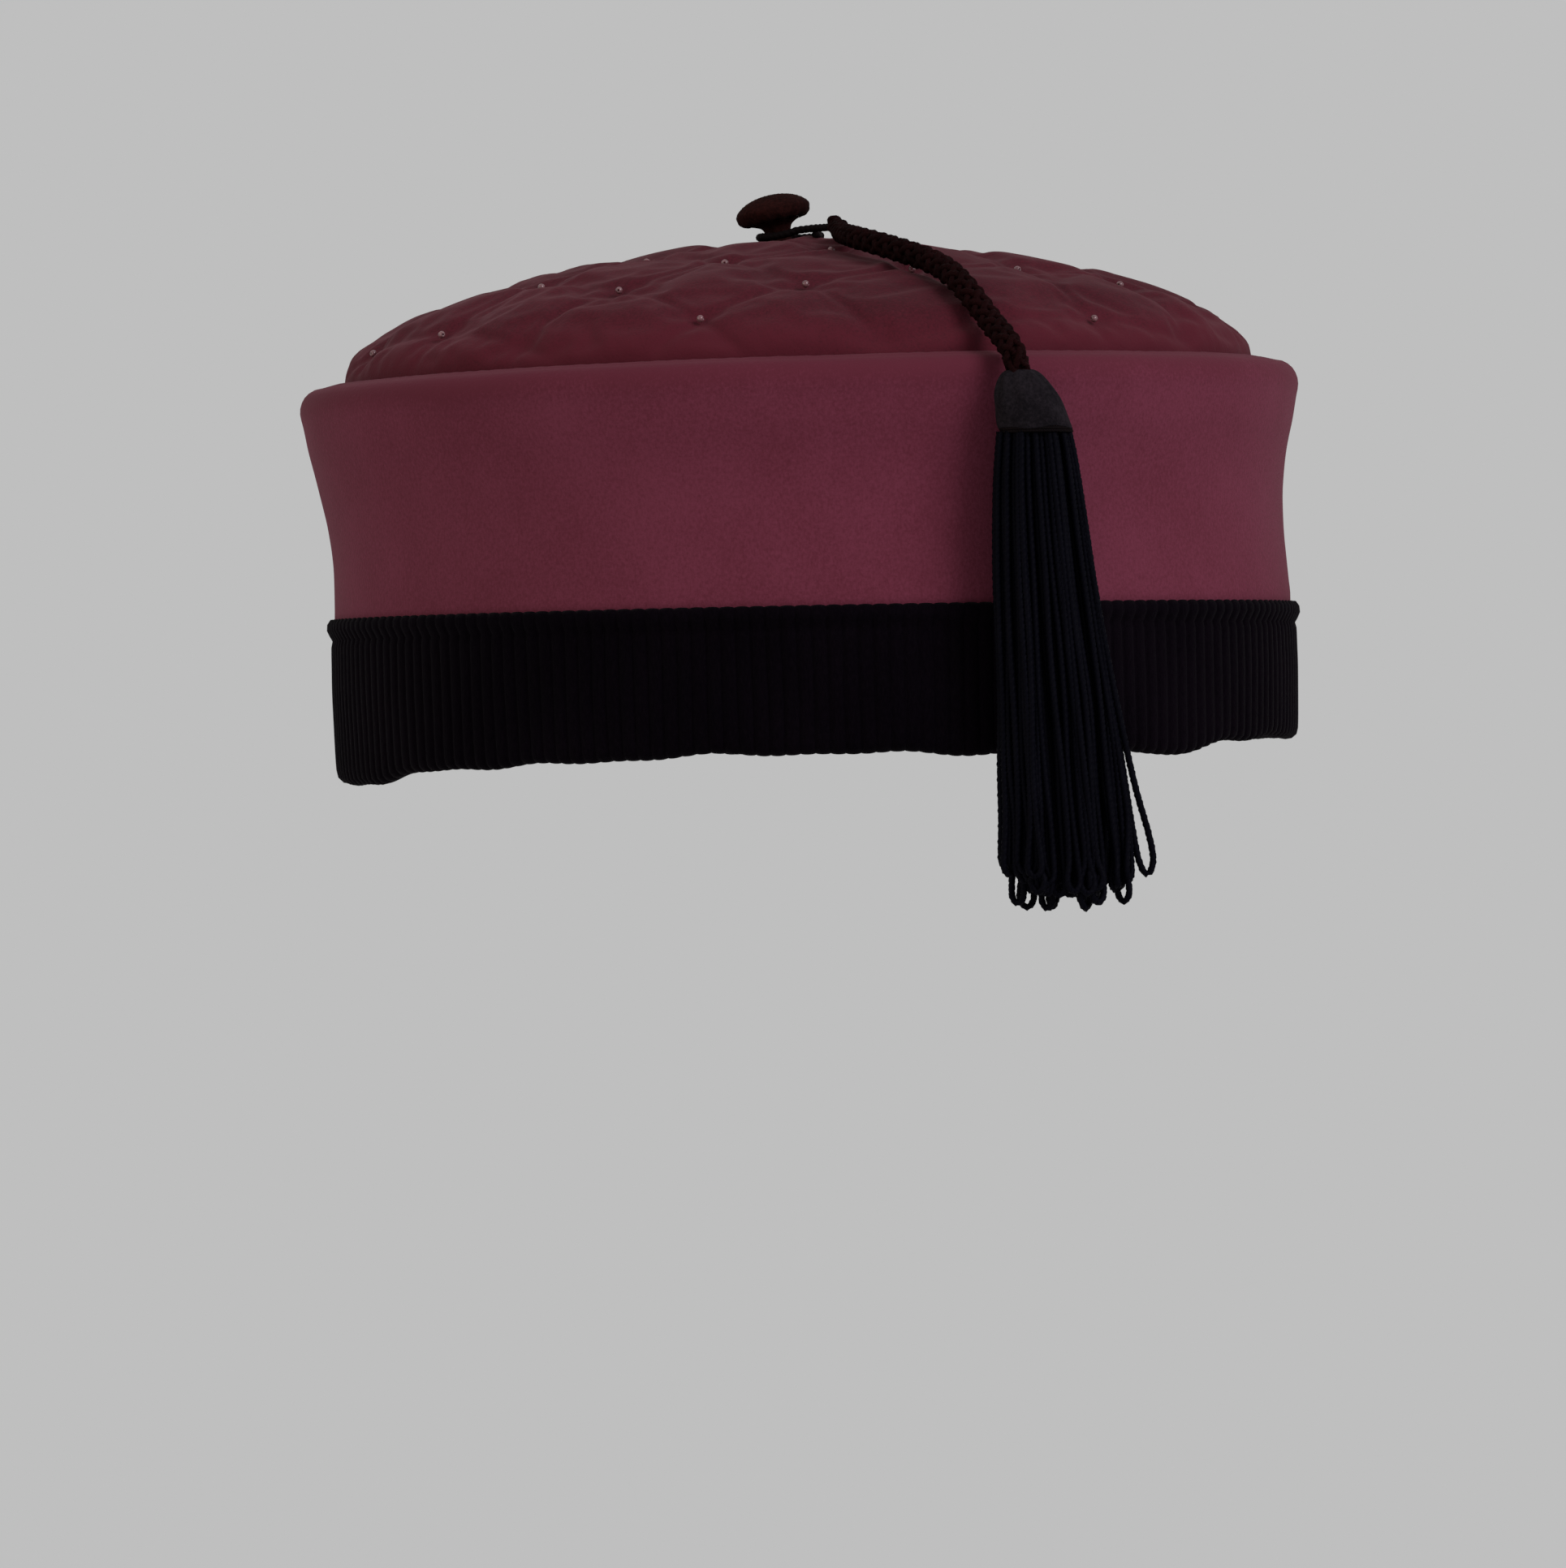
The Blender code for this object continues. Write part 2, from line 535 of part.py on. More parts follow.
def make_tassel(knit, wood, thread, strands, parts):
    outline = [(radius * MM, height * MM) for radius, height in HEAD_OUTLINE]
    cover = outline + offset(outline, HEAD_CLOTH)[::-1]
    add_spun("tassel_head_cover", cover, TASSEL_STEPS, on_tassel, knit, parts)

    inner = offset(outline, HEAD_CLOTH + 2 * GAP)[2:]
    floor = BINDING_HEIGHT + BINDING_RADII[1]
    core = [(0.0, inner[0][1])] + inner[:-1] + [(inner[-1][0], floor), (0.0, floor)]
    add_spun("tassel_head_core", core, TASSEL_STEPS, on_tassel, wood, parts)

    major, minor = BINDING_RADII
    ring = arc((major, BINDING_HEIGHT), (minor, minor), 90, -210, 6)
    add_spun("tassel_binding", ring, TASSEL_STEPS, on_tassel, thread, parts)

    form = bmesh.new()
    sides = 2 * SKIRT_BUNDLES
    bmesh.ops.create_cone(form, cap_ends=True, segments=sides, radius1=1.0, radius2=1.0, depth=2.0)
    heights, widths, depths, drifts = (np.array(column) for column in zip(*SKIRT_RINGS))
    middle = (heights[0] + heights[-1]) / 2
    half = (heights[0] - heights[-1]) / 2
    for height in heights[1:-1]:
        everything = form.verts[:] + form.edges[:] + form.faces[:]
        level = (0, 0, (height - middle) / half)
        bmesh.ops.bisect_plane(form, geom=everything, plane_co=level, plane_no=(0, 0, 1))
    for vert in form.verts:
        turn = math.atan2(vert.co.y, vert.co.x)
        height = middle + half * vert.co.z
        valley = round(turn * sides / (2 * math.pi)) % 2
        width, depth, drift = (
            float(np.interp(height, heights[::-1], column[::-1])) for column in (widths, depths, drifts)
        )
        reach = SKIRT_GROOVE if valley else 1.0
        lift = SKIRT_SCALLOP if valley and vert.co.z < -0.99 else 0.0
        x = drift + width * reach * math.cos(turn)
        y = depth * reach * math.sin(turn)
        vert.co = (x * MM, y * MM, height * MM + lift)
    skirt = add_mesh("tassel_skirt", form, strands, parts)
    skirt.location = (TASSEL_PIVOT.x, TASSEL_PIVOT.y, 0.0)


def main():
    clear_scene()
    parts = new_collection("lounging_cap")
    cutters = new_collection("cutters")
    crown = new_material("crown_velvet", DARK_WINE, 0.85)
    wine = new_material("side_suede", WINE, 0.85)
    corduroy = new_material("hem_corduroy", BLACK_CORD, 0.8)
    satin = new_material("lining_satin", LINING_SATIN, 0.45)
    buckram = new_material("stiffener_buckram", BUCKRAM, 0.9)
    cotton = new_material("crown_wadding", COTTON, 1.0)
    ribbon = new_material("sweatband_ribbon", RIBBON, 0.6)
    pearl = new_material("bead_pearl", PEARL, 0.25)
    knit = new_material("button_knit", BROWN_KNIT, 0.9)
    charcoal = new_material("tassel_head_knit", CHARCOAL, 0.9)
    beech = new_material("turned_beech", BEECH, 0.6)
    tin = new_material("button_tin", TIN, 0.4, 1.0)
    thread = new_material("black_thread", BLACK_CORD, 0.7)
    braid = new_material("cord_braid", BLACK_CORD, 0.75)
    strands = new_material("tassel_strands", BLACK_CORD, 0.7)
    make_crown_top(crown, parts, cutters)
    make_crown_inside(cotton, satin, parts)
    make_beads(pearl, parts)
    make_side(wine, buckram, satin, parts)
    make_hem(corduroy, ribbon, parts)
    make_button(knit, beech, tin, parts)
    make_cord(thread, braid, parts)
    make_tassel(charcoal, beech, thread, strands, parts)


main()
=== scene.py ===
# %% [markdown]
# # A tasselled lounging cap
# This lesson dresses the plain solids of a soft, brimless cap until they look like cloth, cord
# and thread. The solids stay where they are; each soft one gets a finer piece that stands for it.
# All sizes are written in millimetres and multiplied by MM, because the frame is in metres.

# %% Load the solids
import json
import math

import bpy
import numpy as np
from mathutils import Matrix, Vector, noise

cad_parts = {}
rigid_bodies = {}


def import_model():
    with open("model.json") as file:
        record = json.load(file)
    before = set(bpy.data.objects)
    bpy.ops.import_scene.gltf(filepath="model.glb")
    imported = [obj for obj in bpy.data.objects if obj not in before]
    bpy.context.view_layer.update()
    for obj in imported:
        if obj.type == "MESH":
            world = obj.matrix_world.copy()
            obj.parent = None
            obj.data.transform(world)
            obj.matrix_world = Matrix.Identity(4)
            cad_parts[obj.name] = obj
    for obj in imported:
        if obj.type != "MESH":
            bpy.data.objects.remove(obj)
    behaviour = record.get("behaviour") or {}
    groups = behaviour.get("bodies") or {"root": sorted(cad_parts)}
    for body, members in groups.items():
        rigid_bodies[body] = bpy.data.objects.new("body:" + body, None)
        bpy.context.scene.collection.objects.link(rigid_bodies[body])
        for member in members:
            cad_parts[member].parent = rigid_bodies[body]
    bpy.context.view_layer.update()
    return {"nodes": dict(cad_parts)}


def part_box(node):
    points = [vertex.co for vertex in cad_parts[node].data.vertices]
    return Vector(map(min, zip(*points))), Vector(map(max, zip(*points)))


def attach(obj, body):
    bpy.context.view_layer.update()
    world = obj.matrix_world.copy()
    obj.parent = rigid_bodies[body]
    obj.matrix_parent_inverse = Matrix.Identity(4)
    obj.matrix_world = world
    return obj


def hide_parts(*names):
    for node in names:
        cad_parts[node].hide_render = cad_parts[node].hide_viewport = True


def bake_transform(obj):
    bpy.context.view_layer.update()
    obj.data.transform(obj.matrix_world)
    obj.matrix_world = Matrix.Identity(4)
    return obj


MM = 0.001

for old in list(bpy.data.objects):
    bpy.data.objects.remove(old)
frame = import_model()

# %% [markdown]
# ## The camera
# The view is level with the hem, from about two metres, with a long lens. The camera could be
# aimed with a constraint, but then its roll is hard to set. Its three directions are worked out
# here instead: where it stands, how far it rolls, and at which pixel the middle of the hem falls.

# %% Camera
IMAGE = (1929, 1932)
SENSOR = 36.0
FOCUS = 12092.0
CAMERA_TURN = math.radians(-22.5)
CAMERA_DISTANCE = 2.0
CAMERA_HEIGHT = 5.0 * MM
CAMERA_ROLL = math.radians(1.8)
HEM_PIXEL = (1007.0, 926.2)

back = Vector((math.sin(CAMERA_TURN), -math.cos(CAMERA_TURN), 0.0))
level = Vector((math.cos(CAMERA_TURN), math.sin(CAMERA_TURN), 0.0))
plumb = Vector((0.0, 0.0, 1.0))
right = math.cos(CAMERA_ROLL) * level - math.sin(CAMERA_ROLL) * plumb
up = math.sin(CAMERA_ROLL) * level + math.cos(CAMERA_ROLL) * plumb
eye = CAMERA_DISTANCE * back + CAMERA_HEIGHT * plumb
aside = (HEM_PIXEL[0] - IMAGE[0] / 2) / FOCUS + eye.dot(right) / CAMERA_DISTANCE
above = (IMAGE[1] / 2 - HEM_PIXEL[1]) / FOCUS + eye.dot(up) / CAMERA_DISTANCE
forward = (-back - aside * right - above * up).normalized()
right = forward.cross(up).normalized()
up = right.cross(forward)

lens = bpy.data.cameras.new("camera")
lens.lens = FOCUS / max(IMAGE) * SENSOR
lens.sensor_width = SENSOR
camera = bpy.data.objects.new("camera", lens)
bpy.context.scene.collection.objects.link(camera)
camera.matrix_world = Matrix.Translation(eye) @ Matrix((right, up, -forward)).transposed().to_4x4()
bpy.context.scene.camera = camera
bpy.context.scene.view_settings.view_transform = "Standard"
print("lens:", round(lens.lens, 1), "mm")

# %% [markdown]
# ## The cord
# A braided cord lies over the crown from a knot to the rim, and a thin plied thread ties the knot
# to the button's stalk. A curve with a round bevel would give a plain hose. Here every strand is
# swept along its own line: the section has one lobe for each ply and turns as it goes, so the
# twist is real and catches the light. The braid is eight such strands, four winding each way,
# that pass over and under each other round a thicker one that fills the middle. Near the knot
# they are drawn tighter and thinner.

# %% Lines through points
STEPS_BETWEEN = 16


def smooth_line(points, spacing):
    """An even line through the points, rounded off between them."""
    line = np.array(points, float)
    padded = np.vstack([2 * line[0] - line[1], line, 2 * line[-1] - line[-2]])
    fine = []
    for a, b, c, d in zip(padded, padded[1:], padded[2:], padded[3:]):
        for t in np.linspace(0, 1, STEPS_BETWEEN, endpoint=False):
            square = (2 * a - 5 * b + 4 * c - d) * t**2
            cube = (3 * b - a - 3 * c + d) * t**3
            fine.append(0.5 * (2 * b + (c - a) * t + square + cube))
    fine = np.array(fine + [line[-1]])
    walked = np.concatenate([[0], np.cumsum(np.linalg.norm(np.diff(fine, axis=0), axis=1))])
    places = np.linspace(0, walked[-1], max(2, round(walked[-1] / spacing) + 1))
    return np.stack([np.interp(places, walked, fine[:, k]) for k in range(fine.shape[1])], axis=1)


def line_length(line):
    return float(np.linalg.norm(np.diff(line, axis=0), axis=1).sum())


def carried_sides(line):
    """Two crosswise directions at each point of a line, carried along it without twisting."""
    ahead = np.gradient(line, axis=0)
    ahead /= np.linalg.norm(ahead, axis=1)[:, None]
    first = np.cross(ahead[0], (0.3, 0.2, 0.93))
    sides = [first / np.linalg.norm(first)]
    for direction in ahead[1:]:
        side = sides[-1] - direction * (sides[-1] @ direction)
        sides.append(side / np.linalg.norm(side))
    sides = np.array(sides)
    return sides, np.cross(ahead, sides)


# %% Plied strands
PLY_DEPTH = 0.20


def sweep_strand(points, faces, line, radius, plies, lay, corners):
    """Adds a plied strand to points and faces: a lobed section that turns as it goes along a line."""
    side, other = carried_sides(line)
    walked = np.concatenate([[0], np.cumsum(np.linalg.norm(np.diff(line, axis=0), axis=1))])
    turn = 2 * math.pi * walked / lay
    around = np.linspace(0, 2 * math.pi, corners, endpoint=False)
    lobes = 1 - PLY_DEPTH + PLY_DEPTH * np.abs(np.cos(plies * around / 2))
    angle = around[None, :] + turn[:, None]
    reach = np.outer(np.broadcast_to(radius, len(line)), lobes)
    ring = side[:, None, :] * (reach * np.cos(angle))[:, :, None]
    ring = ring + other[:, None, :] * (reach * np.sin(angle))[:, :, None]
    start = len(points)
    points.extend((line[:, None, :] + ring).reshape(-1, 3).tolist())
    rings = len(line)
    for k in range(rings - 1):
        for c in range(corners):
            d = (c + 1) % corners
            low = start + k * corners
            high = low + corners
            faces.append((low + c, low + d, high + d, high + c))
    faces.append(tuple(start + c for c in reversed(range(corners))))
    faces.append(tuple(start + (rings - 1) * corners + c for c in range(corners)))


def piece_from(name, points, faces):
    mesh = bpy.data.meshes.new(name)
    mesh.from_pydata(points, [], faces)
    mesh.shade_smooth()
    piece = bpy.data.objects.new(name, mesh)
    bpy.context.scene.collection.objects.link(piece)
    return piece


def one_strand(name, line, radius, lay, corners):
    """A piece that is a single strand of two plies."""
    points, faces = [], []
    sweep_strand(points, faces, line, radius, 2, lay, corners)
    return piece_from(name, points, faces)


# %% Braided cord
CORD_ROUTE = (
    (0.4, -18.0, 106.0), (-0.2, -20.8, 105.3), (-2.0, -26.1, 104.3), (-4.4, -35.0, 103.3),
    (-6.0, -43.5, 102.3), (-5.6, -52.0, 100.8), (-3.9, -60.5, 98.8), (-1.9, -68.5, 96.6),
    (-0.9, -75.5, 94.2), (-0.8, -82.0, 91.5), (-0.7, -87.2, 88.6), (-0.3, -91.6, 85.5),
    (-0.1, -95.8, 82.6), (-0.2, -100.6, 80.1), (-0.5, -105.2, 77.6), (-0.7, -107.6, 75.6),
    (-0.5, -108.3, 73.6), (-0.2, -108.3, 71.6),
)
EACH_WAY = 4
BRAID_PITCH = 15.0 * MM
BRAID_REACH = 1.62 * MM
BRAID_WEAVE = 0.30 * MM
BRAID_STRAND = 0.80 * MM
BRAID_FILL = 1.4 * MM
DRAWN_THIN = 0.78
DRAWN_LENGTH = 42.0 * MM

cord_line = smooth_line(np.array(CORD_ROUTE) * MM, spacing=0.4 * MM)
cord_side, cord_up = carried_sides(cord_line)
cord_walk = np.linspace(0, line_length(cord_line), len(cord_line))
cord_turn = cord_walk * 2 * math.pi / BRAID_PITCH
drawn = np.interp(cord_walk, (0, DRAWN_LENGTH), (DRAWN_THIN, 1.0))
braid_points, braid_faces = [], []
sweep_strand(braid_points, braid_faces, cord_line, drawn * BRAID_FILL, plies=3, lay=6.0 * MM, corners=12)
for strand in range(2 * EACH_WAY):
    way = 1 if strand < EACH_WAY else -1
    place = way * cord_turn + strand * 2 * math.pi / EACH_WAY + (0.0 if way > 0 else math.pi / EACH_WAY)
    reach = drawn * (BRAID_REACH + way * BRAID_WEAVE * np.sin(EACH_WAY * cord_turn))
    strand_line = cord_line + cord_side * (reach * np.cos(place))[:, None]
    strand_line = strand_line + cord_up * (reach * np.sin(place))[:, None]
    sweep_strand(
        braid_points, braid_faces, strand_line, drawn * BRAID_STRAND, plies=2, lay=way * 2.6 * MM, corners=8,
    )
braided_cord = piece_from("braided_cord", braid_points, braid_faces)
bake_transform(braided_cord)
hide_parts("tassel_cord", "cord_bend")
print("cord:", round(line_length(cord_line) / MM, 1), "mm")

# %% Thread loop and knot
LOOP_RADIUS = 6.2
LOOP_CENTRE = (-2.4, 0.2, 105.0)
LOOP_TURN = (-42.0, 222.0)
LOOP_POINTS = 16
LOOP_START = ((-0.7, -9.2, 104.9), (0.9, -6.9, 104.4))
LOOP_TAIL = (
    (-5.5, -5.8, 105.3), (-3.6, -7.2, 105.9), (-1.6, -9.6, 106.1), (-0.5, -11.8, 106.1),
    (0.2, -14.2, 106.1), (0.4, -15.8, 106.2),
)
THREAD_RADIUS = 0.82 * MM
KNOT_CENTRE = np.array((0.5, -16.8, 106.5)) * MM
KNOT_TURNS = 2
KNOT_REACH = 0.80 * MM
KNOT_SWELL = 0.40 * MM
KNOT_WEAVE = 1.5
KNOT_STRAND = 0.8 * MM

loop_turns = np.radians(np.linspace(*LOOP_TURN, LOOP_POINTS))
loop_ring = np.stack([np.cos(loop_turns), np.sin(loop_turns), 0 * loop_turns], axis=1)
thread_route = np.vstack([LOOP_START, LOOP_CENTRE + LOOP_RADIUS * loop_ring, LOOP_TAIL])
thread_line = smooth_line(thread_route * MM, spacing=0.25 * MM)
thread_loop = one_strand("thread_loop", thread_line, THREAD_RADIUS, lay=2.4 * MM, corners=10)

knot_turns = np.linspace(0, 2 * math.pi * KNOT_TURNS, 90)
knot_reach = KNOT_REACH + KNOT_SWELL * np.cos(KNOT_WEAVE * knot_turns)
knot_line = KNOT_CENTRE + np.stack([
    KNOT_REACH * np.sin(KNOT_WEAVE * knot_turns),
    knot_reach * np.cos(knot_turns),
    knot_reach * np.sin(knot_turns),
], axis=1)
cord_knot = one_strand("knotted_cord_end", knot_line, KNOT_STRAND, lay=3.0 * MM, corners=10)
for piece, node, slot in ((thread_loop, "cord_loop", "black_thread"), (cord_knot, "cord_knot", "cord_braid")):
    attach(piece, "cord")
    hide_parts(node)
print("thread:", round(line_length(thread_line) / MM, 1), "mm")

# %% [markdown]
# ## Writing finishes
# A finish is a small network of shader nodes. Placing nodes one by one hides what they work out,
# so a link is wrapped in a class here: adding or multiplying links adds the Math nodes, and one
# method adds every other kind of node.

# %% Links and nodes
class Link:
    """One output of a shader node. Arithmetic on links adds Math nodes to the same tree."""

    def __init__(self, tree, socket):
        self.tree = tree
        self.socket = socket

    def node(self, kind, settings, inputs, output=0):
        """Adds a node: its type, its settings, then the values or links of its sockets."""
        made = self.tree.nodes.new("ShaderNode" + kind)
        for name, value in settings.items():
            setattr(made, name, value)
        for name, value in inputs.items():
            if isinstance(value, Link):
                self.tree.links.new(value.socket, made.inputs[name])
            else:
                made.inputs[name].default_value = value
        return Link(self.tree, made.outputs[output])

    def math(self, operation, first, second=0.0):
        return self.node("Math", {"operation": operation}, {0: first, 1: second})

    def __add__(self, other):
        return self.math("ADD", self, other)

    def __radd__(self, other):
        return self.math("ADD", other, self)

    def __sub__(self, other):
        return self.math("SUBTRACT", self, other)

    def __mul__(self, other):
        return self.math("MULTIPLY", self, other)

    def sine(self):
        return self.math("SINE", self)

    def between(self, low, high):
        """0 at low, 1 at high, eased and held outside."""
        inputs = {"Value": self, "From Min": low, "From Max": high}
        return self.node("MapRange", {"interpolation_type": "SMOOTHSTEP"}, inputs)

    def noise(self, scale, detail=2.0, roughness=0.5):
        inputs = {"Vector": self, "Scale": scale, "Detail": detail, "Roughness": roughness}
        return self.node("TexNoise", {}, inputs, "Fac")

    def stretched(self, x, y, z):
        return self.node("Mapping", {}, {"Vector": self, "Scale": (x, y, z)})

    def part(self, axis):
        return self.node("SeparateXYZ", {}, {"Vector": self}, axis)

    def tint(self, low, high):
        """A colour that goes from low to high as this value goes from 0 to 1."""
        return self.node("Mix", {"data_type": "RGBA"}, {0: self, 6: (*low, 1.0), 7: (*high, 1.0)}, 2)

    def bump(self, depth, strength=1.0):
        return self.node("Bump", {}, {"Height": self, "Distance": depth, "Strength": strength}, "Normal")


def paint(red, green, blue):
    """A colour read off a screen, 0 to 255, as the linear values that a shader takes."""
    shares = [c / 255 for c in (red, green, blue)]
    return tuple(c / 12.92 if c <= 0.04045 else ((c + 0.055) / 1.055) ** 2.4 for c in shares)


class Finish:
    """A material, its shader, and the place on the piece that its patterns read."""

    def __init__(self, name, **constants):
        self.material = bpy.data.materials.new(name)
        self.material.use_nodes = True
        tree = self.material.node_tree
        self.shader = tree.nodes["Principled BSDF"]
        for socket, value in constants.items():
            self.shader.inputs[socket.replace("_", " ").title()].default_value = value
        self.place = Link(tree, tree.nodes.new("ShaderNodeTexCoord").outputs["Object"])

    def feed(self, socket, link):
        link.tree.links.new(link.socket, self.shader.inputs[socket])

    def put_on(self, *pieces):
        for piece in pieces:
            piece.data.materials.clear()
            piece.data.materials.append(self.material)


# %% [markdown]
# ## Wine cloth
# The crown is short velvet and the side band a suede cloth of nearly the same wine red. Both have
# a nap: hairs that glow where the cloth turns away from the eye. That glow is the shader's sheen.
# On top come a slow mottling, where hands have brushed the nap both ways, a fine grain and a weave.
# Near the rim both colours are painted: the velvet lighter low down, as painted light, and the suede darker
# at its rolled top, as painted shade.

# %% Velvet and suede
VELVET_DARK = paint(51, 9, 19)
VELVET_LIGHT = paint(73, 19, 31)
SUEDE_DARK = paint(82, 29, 43)
SUEDE_LIGHT = paint(99, 42, 59)
NAP_GLOW = (*paint(206, 150, 158), 1.0)
BRUSHED_SHARE = 0.35
GRAIN_SHARE = 0.45
WEAVE_SHARE = 0.2


def wine_cloth(name, dark, light, sheen, from_height, to_height, painted_shading):
    """A napped cloth; between two heights its colour is shifted by a share, as painted light where the share
    is positive and painted shade where it is negative.
    """
    cloth = Finish(name, roughness=0.9, sheen_weight=sheen, sheen_roughness=0.35, sheen_tint=NAP_GLOW)
    cloth.shader.inputs["Specular IOR Level"].default_value = 0.15
    brushed = cloth.place.noise(26.0, 3.0, 0.6)
    grain = cloth.place.noise(1500.0, 2.0, 0.7)
    weave = cloth.place.stretched(1.0, 1.0, 0.45).noise(2600.0, 1.0)
    # Painted light and shade: between the two heights the colour shifts to stand in for how the light falls
    # there.
    painted_shading_span = cloth.place.part("Z").between(from_height * MM, to_height * MM)
    tone = brushed * BRUSHED_SHARE + grain * GRAIN_SHARE + weave * WEAVE_SHARE + painted_shading_span * painted_shading
    cloth.feed("Base Color", tone.between(0.32, 0.68).tint(dark, light))
    cloth.feed("Roughness", 0.8 + grain * 0.15)
    cloth.feed("Normal", (grain * 0.7 + weave * 0.3).bump(0.25 * MM, 0.5))
    return cloth


# Painted light: the velvet is made lighter towards the crown's lower edge.
crown_velvet = wine_cloth(
    "wine_velvet", VELVET_DARK, VELVET_LIGHT, sheen=0.11, from_height=89.0, to_height=79.0, painted_shading=0.16,
)
# Painted shade: the suede is made darker over its rolled top and ledge, where the light from above catches
# it.
side_suede = wine_cloth(
    "wine_suede", SUEDE_DARK, SUEDE_LIGHT, sheen=0.08, from_height=69.0, to_height=75.5, painted_shading=-0.18,
)
print("wine cloths:", crown_velvet.material.name, side_suede.material.name)

# %% [markdown]
# ## Black cloths and cords
# Corduroy, knit and cord are all nearly black, so the eye tells them apart by how they shine:
# corduroy glows softly on its ribs, rayon cord has a silky highlight, and the knit is dull.

# %% Corduroy, knit, cord
corduroy = Finish("black_corduroy", roughness=0.9, sheen_weight=0.01, sheen_roughness=0.4)
corduroy.shader.inputs["Specular IOR Level"].default_value = 0.03
pile = corduroy.place.stretched(1.0, 1.0, 0.4).noise(1900.0, 2.0, 0.7)
worn = corduroy.place.noise(30.0, 2.0)
nap = (pile * 0.5 + worn * 0.5).between(0.3, 0.75)
corduroy.feed("Base Color", nap.tint(paint(2, 0, 3), paint(8, 4, 9)))
corduroy.feed("Normal", pile.bump(0.2 * MM, 0.6))


def cord_finish(name, dark, light, roughness, specular, scale):
    """A dull or silky finish of fibres; scale is how fine they are."""
    cord = Finish(name, roughness=roughness)
    cord.shader.inputs["Specular IOR Level"].default_value = specular
    fibre = cord.place.noise(scale, 2.0, 0.7)
    slow = cord.place.noise(120.0, 1.0)
    cord.feed("Base Color", (fibre * 0.6 + slow * 0.4).between(0.3, 0.7).tint(dark, light))
    cord.feed("Roughness", roughness + (fibre - 0.5) * 0.25)
    cord.feed("Normal", fibre.bump(0.08 * MM, 0.5))
    return cord


FIBRES = {
    # dark, light, roughness, specular, scale
    "black_braid": (paint(8, 0, 0), paint(25, 4, 5), 0.75, 0.04, 2600.0),
    "looped_rayon": (paint(1, 1, 6), paint(4, 4, 11), 0.65, 0.04, 2400.0),
    "waxed_thread": (paint(4, 1, 2), paint(13, 6, 7), 0.75, 0.06, 3000.0),
    "knitted_wool": (paint(19, 6, 5), paint(40, 16, 14), 0.95, 0.04, 1600.0),
    "charcoal_cloth": (paint(12, 10, 13), paint(31, 27, 31), 0.95, 0.05, 1500.0),
}
braid_finish, strand_finish, thread_finish, button_knit, head_knit = (
    cord_finish(name, *look) for name, look in FIBRES.items()
)
braid_finish.put_on(braided_cord, cord_knot)
thread_finish.put_on(thread_loop)
print("black finishes ready")

# %% [markdown]
# ## Turned cloth
# The side band, the hem band, the linings and the button are round about the cap's axis. Spinning
# an outline would do, but growing a ring is closer to how a band is sewn: a circle is added, then
# extruded and resized from point to point of its outline. Small moves in code then take away the
# machine-made evenness.

# %% Growing a ring along an outline
WELD = 0.003 * MM


def start_clean():
    """Leaves nothing selected, so that an operator acts on the new piece alone."""
    if bpy.context.mode != "OBJECT":
        bpy.ops.object.mode_set(mode="OBJECT")
    bpy.ops.object.select_all(action="DESELECT")


def grow_ring(name, outline, steps):
    """A ring extruded along (radius, height) points in millimetres and closed on itself."""
    start_clean()
    radius, height = outline[0]
    bpy.ops.mesh.primitive_circle_add(vertices=steps, radius=radius * MM, location=(0, 0, height * MM))
    piece = bpy.context.object
    piece.name = name
    piece.data.name = name
    bpy.ops.object.mode_set(mode="EDIT")
    for next_radius, next_height in list(outline[1:]) + list(outline[:1]):
        rise = {"value": (0, 0, (next_height - height) * MM)}
        bpy.ops.mesh.extrude_region_move(TRANSFORM_OT_translate=rise)
        wider = next_radius / radius
        bpy.ops.transform.resize(value=(wider, wider, 1.0), center_override=(0, 0, next_height * MM))
        radius, height = next_radius, next_height
    bpy.ops.mesh.select_all(action="SELECT")
    bpy.ops.mesh.remove_doubles(threshold=WELD)
    bpy.ops.mesh.normals_make_consistent(inside=False)
    bpy.ops.object.mode_set(mode="OBJECT")
    bpy.ops.object.transform_apply(location=True, rotation=True, scale=True)
    bpy.ops.object.shade_smooth()
    return piece


def rounded(outer, spacing, inner=()):
    """An outline for a ring: the outer points rounded off, then the inner ones as they are."""
    return [tuple(p) for p in smooth_line(outer, spacing)] + list(inner)


def points_of(piece):
    flat = np.empty(len(piece.data.vertices) * 3)
    piece.data.vertices.foreach_get("co", flat)
    return flat.reshape(-1, 3)


def set_points(piece, points):
    piece.data.vertices.foreach_set("co", points.ravel())
    piece.data.update()


def outward(piece):
    flat = np.empty(len(piece.data.vertices) * 3)
    piece.data.vertices.foreach_get("normal", flat)
    return flat.reshape(-1, 3)


def around_axis(piece):
    """A piece's points with the angle, radius and height of each, the last two in millimetres."""
    points = points_of(piece)
    angle = np.arctan2(points[:, 1], points[:, 0])
    return points, angle, np.hypot(points[:, 0], points[:, 1]) / MM, points[:, 2] / MM


def ramp(value, start, end):
    """0 at start, 1 at end, straight between them and held outside."""
    return np.clip((value - start) / (end - start), 0, 1)


def hump(distance, width):
    """1 at no distance, falling off smoothly over about that width."""
    return np.exp(-((distance / width) ** 2))


def turn_from(centre, angle):
    """The shorter way round from a centre to each angle, in radians."""
    return np.angle(np.exp(1j * (angle - centre)))


def uneven(points, scale, seed):
    """Smooth noise between about -1 and 1 at each point."""
    shift = Vector((seed * 7.1, seed * 3.3, seed * 5.7))
    return np.array([noise.noise(Vector(p) * scale + shift) for p in points])


